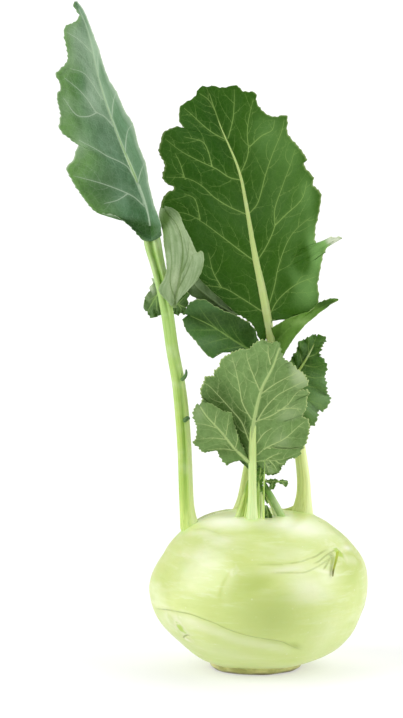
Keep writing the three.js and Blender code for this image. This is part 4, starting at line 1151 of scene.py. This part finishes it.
def bulb():
    """The bulb with its scars, its buds and the skin's rise round the stalks."""
    piece = drawn_bulb("kohlrabi_bulb")
    co = read(piece, "co") / MM
    normals = read(piece, "normal")
    rise, pale, scar_near, bud, wax_and_highlight, green, foot = np.zeros((7, len(co)))
    scar = np.full(len(co), 9.0)
    for place, (lip, band, band_strength, dark, line) in placed(FRONT_SCARS, ROUND_SCARS):
        path = Route([place(*point) for point in line]).spaced(SCAR_STEP)
        signed, near, share = line_field(co, normals, path)
        off = np.abs(signed)
        above = 0.5 + 0.5 * np.tanh(signed / LIP_EDGE)
        rise += near * lip * (above * np.exp(-off / LIP_ABOVE) - (1 - above) * np.exp(-off / LIP_BELOW))
        pale += near * band_strength * np.exp(-((signed + band) / (band * 0.75)) ** 2)
        dark = np.interp(share, [0, 1], dark)
        nearer = off * (near > 0.02) + 99 * (near <= 0.02) < np.abs(scar)
        scar = np.where(nearer, signed, scar)
        scar_near = np.where(nearer, near * dark * np.exp(-(signed / SCAR_REACH) ** 2), scar_near)
    ragged = surface_noise(co, 0.7)
    for place, (at, half, tilt, height, leafy) in placed(FRONT_BUDS, ROUND_BUDS):
        reach = patch_reach(co, place(*at), half, tilt) * (1 + 0.6 * ragged)
        ring = np.exp(-((reach - 1) / 0.28) ** 2)
        inside = np.clip(1.15 - reach, 0, 1)
        rise += height * (ring * 0.7 + 1.2 * inside)
        bud = np.maximum(bud, np.clip(1.5 - reach, 0, 1) * leafy)
        pale += 0.3 * np.exp(-((reach - 1.5) / 0.6) ** 2)
    # Whitish: wax bloom and painted highlights. Green: the skin's own, and painted shade on the middle of the
    # front.
    for place, (at, half, tilt, waxy_and_lit, greener_and_shaded) in placed(FRONT_PATCHES, ROUND_PATCHES):
        weight = np.exp(-patch_reach(co, place(*at), half, tilt) ** 2)
        wax_and_highlight = np.maximum(wax_and_highlight, waxy_and_lit * weight)
        green = np.maximum(green, greener_and_shaded * weight)
    for form in STALKS.values():
        line = Route(form["points"]).at(np.linspace(0, 1, 200))[:60]
        path = lay(*line.T[:3]) / MM
        close = close_to(co, path, 14)
        if len(close) == 0:
            continue
        index, gap = nearest(co[close], path)
        radius = line[:, 3][index]
        closeness = np.exp(-np.clip(gap - radius, 0, None) / FOOT_REACH)
        rise[close] += FOOT_RISE * np.minimum(radius, FOOT_RADIUS_LIMIT) * closeness
        foot[close] = np.maximum(foot[close], closeness * np.clip(radius / 2.5, 0.3, 1))
    for scale, height in LUMPS:
        rise += height * surface_noise(co, scale)
    rise *= np.clip(co[:, 2] / 2.5, 0, 1)
    co = co + normals * rise[:, None]
    flange = np.clip((co[:, 2] - 0.2) / 2.4, 0, 1)
    wobble = np.array([noise.noise(Vector((p[0] * 0.12, p[1] * 0.12, 7))) for p in co])
    co[:, :2] *= 1 + (ROOT_RIM_WOBBLE * wobble * (1 - flange))[:, None]
    move_points(piece, co * MM)
    return finish_piece(piece, {
        "pale": np.clip(pale, 0, 1), "wax_and_highlight": wax_and_highlight, "green": green, "scar": scar,
        "scar_near": np.clip(scar_near, 0, 1), "bud": bud, "foot": foot,
    })


# ------------------------------------------------------------------ materials

# Screen colours, from 0 to 255, that every leaf shares.
BLOOM = (160, 182, 165)
WARM = (104, 150, 58)
WHITISH = (206, 216, 188)
# A painted sheen, whitish, along the right margin of a leaf's upper part.
PAINTED_SHEEN_RIM = (190, 208, 186)

# A leaf's colours: its upper side, that side's darker parts (random, and painted shade in the dips), its
# veins, its deep colour (random blotches and painted shade) and its pale colour (painted light).
LEAF_LOOKS = {
    "leaf_green": dict(
        upper=(66, 114, 10), upper_dark=(48, 92, 2), vein=(150, 184, 96), under_vein=(196, 214, 158),
        deep=(36, 82, 0), pale=(124, 170, 92), bloom=0.03, net=0.03, gloss=0.15),
    "leaf_blue_green": dict(
        upper=(104, 147, 108), upper_dark=(86, 130, 88), under=(150, 172, 140), vein=(192, 212, 184),
        under_vein=(190, 208, 165), deep=(50, 92, 32), pale=(172, 197, 168), edge=(176, 198, 160),
        bloom=0.25, warm=0.8, net=0.04, fold_shade_and_bump=0.3, hem=0.7, sheen_rim=0.45),
    "leaf_pale_back": dict(
        upper=(96, 132, 62), upper_dark=(78, 116, 46), under=(112, 145, 80), vein=(168, 192, 112),
        under_vein=(186, 208, 136), deep=(56, 90, 20), pale=(196, 212, 168),
        bloom=0.2, net=0.05, fold_shade_and_bump=0.15, hem=0.9, gloss=0.25),
    # The curled lobe's underside veins are dark: painted shade beside their ridges.
    "leaf_curled": dict(
        upper=(96, 132, 62), upper_dark=(78, 116, 46), under=(160, 182, 138), vein=(168, 192, 112),
        under_vein=(96, 124, 56), deep=(88, 122, 52), pale=(196, 212, 168), net=0.05, fold_shade_and_bump=0.4),
    "leaf_deep_green": dict(
        upper=(74, 124, 40), upper_dark=(54, 100, 22), vein=(140, 176, 88), deep=(38, 76, 6),
        pale=(150, 184, 146), net=0.05),
    "leaf_bright_green": dict(
        upper=(96, 146, 56), upper_dark=(68, 116, 26), vein=(150, 184, 92), deep=(46, 86, 12),
        pale=(150, 184, 130), fold_shade_and_bump=0.2),
    "leaf_small_lobe": dict(
        upper=(92, 132, 60), upper_dark=(74, 114, 36), vein=(150, 184, 100), deep=(42, 78, 8),
        pale=(186, 202, 166), fold_shade_and_bump=0.2),
    "leaf_young": dict(
        upper=(100, 146, 60), upper_dark=(76, 120, 40), under=(120, 152, 90), vein=(176, 206, 120),
        deep=(60, 96, 16), pale=(170, 200, 140), hem=0.7),
    "leaf_crinkled": dict(
        upper=(136, 186, 76), upper_dark=(96, 148, 40), under=(140, 180, 90), vein=(196, 222, 130),
        under_vein=(196, 222, 130), deep=(66, 106, 16), pale=(190, 216, 140), fold_shade_and_bump=0.5, hem=0.8),
    # The hem's colours are darker than another underside's: painted shade on the folded margin.
    "leaf_hem": dict(
        upper=(60, 104, 26), upper_dark=(42, 82, 12), under=(74, 98, 50), vein=(110, 140, 70),
        under_vein=(96, 118, 70), deep=(40, 66, 12), pale=(140, 162, 120), net=0.04),
    # A lighter copy of the big leaf's green: painted light on its right lobe.
    "leaf_green_lit": dict(
        upper=(108, 150, 58), upper_dark=(96, 138, 48), vein=(130, 166, 84), deep=(50, 86, 16),
        pale=(168, 200, 120), bloom=0.03, net=0.03, gloss=0.2),
}

# A stalk's colours: its foot, its lower and its upper part, its midrib, the share of its length where
# the midrib starts, and its fibres, whose darker colour also fills the grooves as painted shade.
STALK_LOOKS = {
    "left_stalk_green": (
        (204, 226, 124), (180, 210, 96), (172, 206, 118), (186, 210, 170), 0.58, (120, 168, 44)),
    "big_stalk_green": (
        (206, 220, 130), (220, 234, 146), (204, 222, 136), (204, 224, 138), 0.4, (166, 184, 84)),
    "right_stalk_green": (
        (196, 208, 126), (212, 226, 148), (192, 212, 126), (150, 176, 84), 0.4, (166, 182, 96)),
    "front_stalk_green": (
        (198, 224, 150), (214, 234, 164), (208, 230, 150), (196, 218, 136), 0.4, (170, 206, 120)),
    "young_stalk_green": (
        (206, 228, 150), (164, 200, 112), (136, 178, 88), (116, 158, 70), 0.8, (100, 146, 60)),
    "bud_cream": (
        (234, 246, 180), (236, 246, 190), (224, 240, 170), (190, 212, 130), 0.8, (196, 220, 130)),
    "spring_green": (
        (220, 240, 150), (206, 232, 130), (180, 212, 104), (130, 168, 76), 0.8, (128, 166, 70)),
    "nub_green": ((96, 138, 66), (84, 124, 58), (70, 110, 50), (60, 100, 44), 0.8, (60, 96, 44)),
    "stub_olive": ((196, 214, 96), (176, 196, 66), (156, 172, 50), (100, 108, 24), 0.75, (130, 144, 40)),
    # Its dark top colour paints the shade in the slot beside the front stalk.
    "stub_yellow_green": (
        (214, 234, 156), (200, 224, 132), (180, 204, 104), (120, 160, 50), 0.75, (176, 204, 84)),
    # The olive colours of the big stalk's flare: painted shade.
    "foot_flare_shade": ((186, 198, 110), (186, 198, 110), (200, 214, 124), (206, 220, 130), 0.8, (150, 160, 66)),
}
# Painted light for the right side of a stalk's lower part, and the colour of its pale clouds.
STALK_PAINTED_LIGHT = (238, 248, 190)
STALK_CLOUD = (235, 240, 210)

# The bulb's colours. The green one also paints shade, the wax one also paints highlights and light, and
# the scar line also paints the shadow under a scar's lip.
SKIN_LOW = (198, 214, 122)
SKIN_HIGH = (214, 227, 144)
SKIN_STREAK = (230, 238, 190)
SKIN_BRUSHED = (232, 240, 196)
SKIN_BRUSHED_DARK = (178, 198, 92)
SKIN_CLOUD = (190, 208, 112)
SKIN_GREEN_AND_SHADE = (172, 190, 92)
SKIN_WAX_AND_HIGHLIGHT = (234, 238, 208)
SCAR_BAND = (236, 238, 208)
SCAR_LINE_AND_SHADOW = (130, 146, 30)
STALK_FOOT = (210, 232, 148)
BUD_GREEN = (166, 198, 48)
SKIN_DOTS = (240, 243, 220)
ROOT_EDGE = ((160, 162, 78), (208, 208, 128))
ROOT_RIM = (92, 84, 26)
ROOT_FACE = ((178, 158, 104), (214, 202, 156))


def srgb(red, green, blue):
    """A colour given as screen values from 0 to 255."""
    def channel(value):
        value = value / 255
        return value / 12.92 if value <= 0.04045 else ((value + 0.055) / 1.055) ** 2.4
    return (channel(red), channel(green), channel(blue), 1)


class Wire:
    """A number on a socket, which takes part in arithmetic."""

    def __init__(self, look, socket):
        self.look = look
        self.socket = socket

    def _with(self, operation, first, second):
        return self.look.node("ShaderNodeMath", {"operation": operation}, {0: first, 1: second})

    def __add__(self, other):
        return self._with("ADD", self, other)

    def __radd__(self, other):
        return self._with("ADD", other, self)

    def __sub__(self, other):
        return self._with("SUBTRACT", self, other)

    def __rsub__(self, other):
        return self._with("SUBTRACT", other, self)

    def __mul__(self, other):
        return self._with("MULTIPLY", self, other)

    def __rmul__(self, other):
        return self._with("MULTIPLY", other, self)

    def __truediv__(self, other):
        return self._with("DIVIDE", self, other)

    def __pow__(self, other):
        return self._with("POWER", self, other)


class Look:
    """A material as it is put together."""

    def __init__(self, name):
        self.material = bpy.data.materials.new(name)
        self.material.use_nodes = True
        self.tree = self.material.node_tree
        self.shader = self.tree.nodes["Principled BSDF"]

    def node(self, kind, settings=None, values=None, out=0):
        node = self.tree.nodes.new(kind)
        for key, value in (settings or {}).items():
            setattr(node, key, value)
        for key, value in (values or {}).items():
            self.feed(node.inputs[key], value)
        return Wire(self, node.outputs[out])

    def feed(self, socket, value):
        if isinstance(value, Wire):
            self.tree.links.new(value.socket, socket)
        else:
            socket.default_value = value

    def place(self):
        return self.node("ShaderNodeTexCoord", out="Object")

    def kept(self, name):
        return self.node("ShaderNodeAttribute", {"attribute_name": name}, out="Fac")

    def joined(self, *values):
        return self.node("ShaderNodeCombineXYZ", values=dict(enumerate(values)))

    def stretched(self, where, scale):
        return self.node("ShaderNodeMapping", values={"Vector": where, "Scale": scale})

    def noise(self, scale, detail=3, rough=0.55, where=None):
        values = {"Vector": where or self.place(), "Scale": scale, "Detail": detail, "Roughness": rough}
        return self.node("ShaderNodeTexNoise", values=values)

    def cells(self, scale):
        """Near 0 on the edges between cells."""
        return self.node(
            "ShaderNodeTexVoronoi", {"feature": "DISTANCE_TO_EDGE"},
            {"Vector": self.place(), "Scale": scale},
        )

    def size(self, value):
        return self.node("ShaderNodeMath", {"operation": "ABSOLUTE"}, {0: value})

    def ramp(self, value, low, high):
        """0 below low, 1 above high, smooth between."""
        return self.node(
            "ShaderNodeMapRange", {"interpolation_type": "SMOOTHSTEP"},
            {"Value": value, "From Min": low, "From Max": high},
        )

    def mix(self, share, first, second):
        """From the first colour to the second; a colour is a wire or three screen values."""
        first, second = (c if isinstance(c, Wire) else srgb(*c) for c in (first, second))
        return self.node("ShaderNodeMix", {"data_type": "RGBA"}, {0: share, 6: first, 7: second}, out=2)

    def finish(self, color, roughness, bump=None, strength=0.3, distance=0.0003, **settings):
        self.feed(self.shader.inputs["Base Color"], color)
        self.feed(self.shader.inputs["Roughness"], roughness)
        if bump is not None:
            values = {"Height": bump, "Strength": strength, "Distance": distance}
            self.feed(self.shader.inputs["Normal"], self.node("ShaderNodeBump", values=values))
        for key, value in settings.items():
            self.shader.inputs[key.replace("_", " ")].default_value = value
        return self.material


def leaf_look(name, upper, upper_dark, vein, deep, pale, under=(128, 152, 100), under_vein=(190, 210, 150),
              edge=(170, 190, 120), bloom=0.1, net=0.08, warm=0.0, gloss=0.35, fold_shade_and_bump=0.0, hem=0.45, sheen_rim=0.0):
    """A leaf's two sides: their colours, the veins', and those of the painted shade and painted light."""
    look = Look(name)
    cloud = look.noise(60, 3)
    blotch = look.noise(260, 3)
    speck = look.noise(1400, 2)
    mesh = 1 - look.ramp(look.cells(430), 0.02, 0.13)
    fine = 1 - look.ramp(look.cells(1300), 0.02, 0.2)
    out = look.size(look.kept("aside"))
    pleat = look.noise(1, 3, 0.5, look.joined(look.kept("aside") * 7, look.kept("along") * 2.5))
    near = look.kept("vein_near")
    line = (1 - look.ramp(look.size(look.kept("vein")), 0.55, 1.35)) * look.ramp(near, 0.02, 0.75)
    twig_near = look.ramp(look.kept("twig_near"), 0.02, 0.75)
    twig = (1 - look.ramp(look.size(look.kept("twig")), 0.55, 1.35)) * twig_near
    line = look.node("ShaderNodeMath", {"operation": "MAXIMUM"}, {0: line, 1: twig})
    is_upper = look.kept("upper")
    shade_and_light = look.kept("shade_and_light")
    side = look.mix(look.ramp(cloud, 0.35, 0.7), upper_dark, upper)
    # Painted shade: the upper side is darker where its skin dips beside the veins.
    side = look.mix(look.kept("puff") * 0.3, upper_dark, side)
    side = look.mix(look.ramp(look.noise(30, 4), 0.35, 0.75) * bloom, side, BLOOM)
    side = look.mix(look.ramp(look.kept("aside"), -0.25, -1) * warm, side, WARM)
    side = look.mix(is_upper, look.mix(look.ramp(cloud, 0.3, 0.7) * 0.3, under, upper), side)
    side = look.mix(look.ramp(blotch, 0.45, 0.75) * 0.3, side, deep)
    # Painted shade in the folds: dark streaks along the pleats take the deep colour.
    side = look.mix(look.ramp(pleat, 0.42, 0.62) * fold_shade_and_bump, side, deep)
    # Painted shade in the deep colour, painted light in the pale colour and, below -1, in whitish.
    side = look.mix(look.ramp(shade_and_light, 0, 1), side, deep)
    side = look.mix(look.ramp(0 - shade_and_light, 0, 1), side, pale)
    side = look.mix(look.ramp(0 - shade_and_light, 1, 2), side, WHITISH)
    vein_color = look.mix(is_upper, under_vein, vein)
    side = look.mix((mesh + fine * 0.5) * net, side, vein_color)
    color = look.mix(near * 0.12 + line * 0.62, side, vein_color)
    # Painted sheen: whitish towards the right margin, clear of the base.
    reach = look.ramp(look.kept("aside"), 0.72, 1) * look.ramp(look.kept("along"), 0.08, 0.2) * sheen_rim
    color = look.mix(reach, color, PAINTED_SHEEN_RIM)
    color = look.mix(look.ramp(out, 0.965, 1) * hem, color, edge)
    relief = mesh * -0.5 + fine * -0.25 + speck * 0.2 + line * 0.6 + pleat * fold_shade_and_bump * 3
    return look.finish(color, 0.46 + blotch * 0.14, relief, 0.35, 0.0003, Specular_IOR_Level=gloss)


def stalk_look(name, foot, low, high, rib, rib_from, fibre):
    look = Look(name)
    share = look.kept("share")
    where = look.joined(look.kept("across"), look.kept("depth"), look.kept("along") * 0.03)
    streak = look.noise(1.3, 4, 0.6, where)
    cloud = look.noise(80, 3)
    color = look.mix(look.ramp(share, 0.02, 0.1), foot, low)
    color = look.mix(look.ramp(share, 0.12, rib_from * 0.8), color, high)
    color = look.mix(look.ramp(share, rib_from * 0.9, rib_from * 1.1), color, rib)
    below_rib = 1 - look.ramp(share, rib_from * 0.9, rib_from)
    color = look.mix(look.ramp(streak, 0.42, 0.7) * 0.45 * below_rib, color, fibre)
    # Painted shade: the grooves take the fibres' darker colour.
    color = look.mix(look.ramp(look.kept("groove"), 0.03, 0.4) * 0.85, color, fibre)
    # Painted light: the right side of the lower part is lighter.
    painted_light_right = look.ramp(look.kept("across"), 0.4, 2.4) * (1 - look.ramp(share, 0.12, 0.3))
    color = look.mix(painted_light_right * 0.55, color, STALK_PAINTED_LIGHT)
    color = look.mix(look.ramp(cloud, 0.5, 0.75) * 0.25, color, STALK_CLOUD)
    relief = streak + look.noise(900, 2) * 0.2
    return look.finish(color, 0.38 + streak * 0.12, relief, 0.25, 0.0003,
                       Subsurface_Weight=0.08, Subsurface_Scale=0.003)


def bulb_look():
    look = Look("bulb_skin")
    where = look.place()
    height = look.node("ShaderNodeSeparateXYZ", values={0: where}, out=2)
    streak = look.noise(1, 4, 0.55, look.stretched(where, (22, 22, 90)))
    cloud = look.noise(26, 3, 0.5)
    color = look.mix(look.ramp(cloud, 0.3, 0.72), SKIN_LOW, SKIN_HIGH)
    color = look.mix(look.ramp(streak, 0.5, 0.72) * 0.55, color, SKIN_STREAK)
    brushed = look.noise(1, 4, 0.65, look.stretched(where, (70, 70, 420)))
    color = look.mix(look.ramp(brushed, 0.52, 0.7) * 0.35, color, SKIN_BRUSHED)
    color = look.mix(look.ramp(brushed, 0.48, 0.3) * 0.2, color, SKIN_BRUSHED_DARK)
    color = look.mix(look.ramp(look.noise(9, 2, 0.5), 0.45, 0.7) * 0.5, color, SKIN_CLOUD)
    # Greener skin, and painted shade on the middle of the front.
    color = look.mix(look.kept("green") * (0.55 + cloud * 0.6), color, SKIN_GREEN_AND_SHADE)
    # Whitish wax bloom, and painted highlights and painted light.
    color = look.mix(look.kept("wax_and_highlight") * (0.35 + streak * 0.8), color, SKIN_WAX_AND_HIGHLIGHT)
    color = look.mix(look.kept("pale") * (0.45 + streak * 0.6), color, SCAR_BAND)
    color = look.mix(look.kept("foot") ** 1.4 * 0.9, color, STALK_FOOT)
    color = look.mix(look.ramp(look.kept("bud"), 0.15, 0.75) * 0.85, color, BUD_GREEN)
    # The scars' dark lines: olive scar tissue, and painted shadow under the lip.
    line = 1 - look.ramp(look.size(look.kept("scar")), 0.1, 0.62)
    ragged = look.ramp(look.noise(160, 3), 0.25, 0.6)
    color = look.mix(line * look.kept("scar_near") * (0.35 + ragged * 0.4), color, SCAR_LINE_AND_SHADOW)
    dots = look.node("ShaderNodeTexVoronoi", values={"Vector": where, "Scale": 260})
    dots = 1 - look.ramp(dots, 0.06, 0.14)
    color = look.mix(dots * look.ramp(look.noise(40, 2), 0.5, 0.6) * 0.25, color, SKIN_DOTS)
    edge = height + (look.noise(220, 4) - 0.5) * 0.0022
    rag = look.ramp(look.noise(110, 3), 0.4, 0.6)
    color = look.mix(1 - look.ramp(edge, 0.0026, 0.0042), color, look.mix(rag, *ROOT_EDGE))
    color = look.mix(1 - look.ramp(edge - rag * 0.0008, -0.0002, 0.0013), color, ROOT_RIM)
    radius = look.node("ShaderNodeVectorMath", {"operation": "LENGTH"}, {0: where}, out=1)
    inner = (1 - look.ramp(edge, -0.001, 0.0008)) * (1 - look.ramp(radius, 0.0148, 0.0168))
    fibre = look.noise(420, 3)
    color = look.mix(inner, color, look.mix(look.ramp(fibre, 0.35, 0.65), *ROOT_FACE))
    bumps = look.noise(1100, 2) * 0.25 + streak * 0.5 - line * look.kept("scar_near")
    rough = 0.3 + look.kept("pale") * 0.15 + cloud * 0.1
    return look.finish(color, rough, bumps, 0.35, 0.0004,
                       Specular_IOR_Level=0.9, Subsurface_Weight=0.1, Subsurface_Scale=0.003)


# ------------------------------------------------------------------ assembly

FIRST_SEED = 11


def keep(piece, node, slot, material):
    piece.data.materials.clear()
    piece.data.materials.append(material)
    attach(piece, "root")
    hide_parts(node)


def make_all():
    looks = {name: leaf_look(name, **colors) for name, colors in LEAF_LOOKS.items()}
    looks.update({name: stalk_look(name, *colors) for name, colors in STALK_LOOKS.items()})
    for name, form in STALKS.items():
        form = {**STALK_DEFAULTS, **form}
        piece = stalk(name.replace("_", "-"), form)
        keep(piece, form.get("node", name), form["slot"], looks[form["look"]])
    for seed, (name, leaf) in enumerate(BLADES.items()):
        leaf = {**BLADE_DEFAULTS, **leaf}
        piece = blade(name.replace("_", "-"), leaf, seed + FIRST_SEED)
        keep(piece, leaf.get("node", name), leaf["slot"], looks[leaf["look"]])
    keep(bulb(), "bulb", "bulb_skin", bulb_look())


FLOOR_SIZE = 40
FLOOR_TONE = (192, 192, 192)
FLOOR_ROUGHNESS = 0.9
FLOOR_GLOW = 0.46

# Soft lights from all round: (name, degrees round from the front to the right, degrees up, spread,
# strength).
LIGHTS = [
    ("left_softbox", -66, 33, 55, 2.0),
    ("right_softbox", 76, 30, 60, 1.75),
    ("back_softbox", 165, 50, 70, 1.2),
]
WORLD_LIGHT = 0.31


def stage():
    """A pale floor and soft light."""
    deselect()
    bpy.ops.mesh.primitive_plane_add(size=FLOOR_SIZE)
    floor = bpy.context.object
    floor.name = "floor"
    look = Look("floor_white")
    look.shader.inputs["Emission Color"].default_value = (1, 1, 1, 1)
    floor.data.materials.append(
        look.finish(srgb(*FLOOR_TONE), FLOOR_ROUGHNESS, Emission_Strength=FLOOR_GLOW))
    world = bpy.data.worlds.new("studio")
    bpy.context.scene.world = world
    world.use_nodes = True
    background = world.node_tree.nodes["Background"]
    background.inputs["Color"].default_value = (1, 1, 1, 1)
    background.inputs["Strength"].default_value = WORLD_LIGHT
    for name, turn, height, spread, strength in LIGHTS:
        light = bpy.data.lights.new(name, "SUN")
        light.angle = math.radians(spread)
        light.energy = strength
        lamp = bpy.data.objects.new(name, light)
        bpy.context.scene.collection.objects.link(lamp)
        turn, height = math.radians(turn), math.radians(height)
        level = math.cos(height)
        heading = Vector((math.sin(turn) * level, -math.cos(turn) * level, math.sin(height)))
        lamp.rotation_euler = heading.to_track_quat("Z", "Y").to_euler()


# The frame's size in pixels, a pixel's size on the layout plane, and the pixel at the layout's origin.
FRAME_SIZE = (403, 718)
PIXEL = 0.42
ORIGIN_PIXEL = (256, 669.5)

# How far away the camera stands, in metres, and the width of its sensor.
CAMERA_DISTANCE = 2.5
SENSOR = 36
FAR_CLIP = 50


def camera():
    data = bpy.data.cameras.new("camera")
    data.sensor_width = SENSOR
    data.lens = SENSOR * CAMERA_DISTANCE / (PIXEL * MM) / FRAME_SIZE[1]
    data.clip_end = FAR_CLIP
    cam = bpy.data.objects.new("camera", data)
    bpy.context.scene.collection.objects.link(cam)
    across = (FRAME_SIZE[0] / 2 - ORIGIN_PIXEL[0]) * PIXEL
    up = (ORIGIN_PIXEL[1] - FRAME_SIZE[1] / 2) * PIXEL
    target = Vector((across * MM, 0, up / math.cos(LEAN) * MM))
    sight = Vector((0, math.cos(LEAN), -math.sin(LEAN)))
    cam.location = target - sight * CAMERA_DISTANCE
    cam.rotation_euler = (math.radians(90) - LEAN, 0, 0)
    bpy.context.scene.camera = cam


camera()
stage()
make_all()
bpy.context.scene.view_settings.view_transform = "Standard"
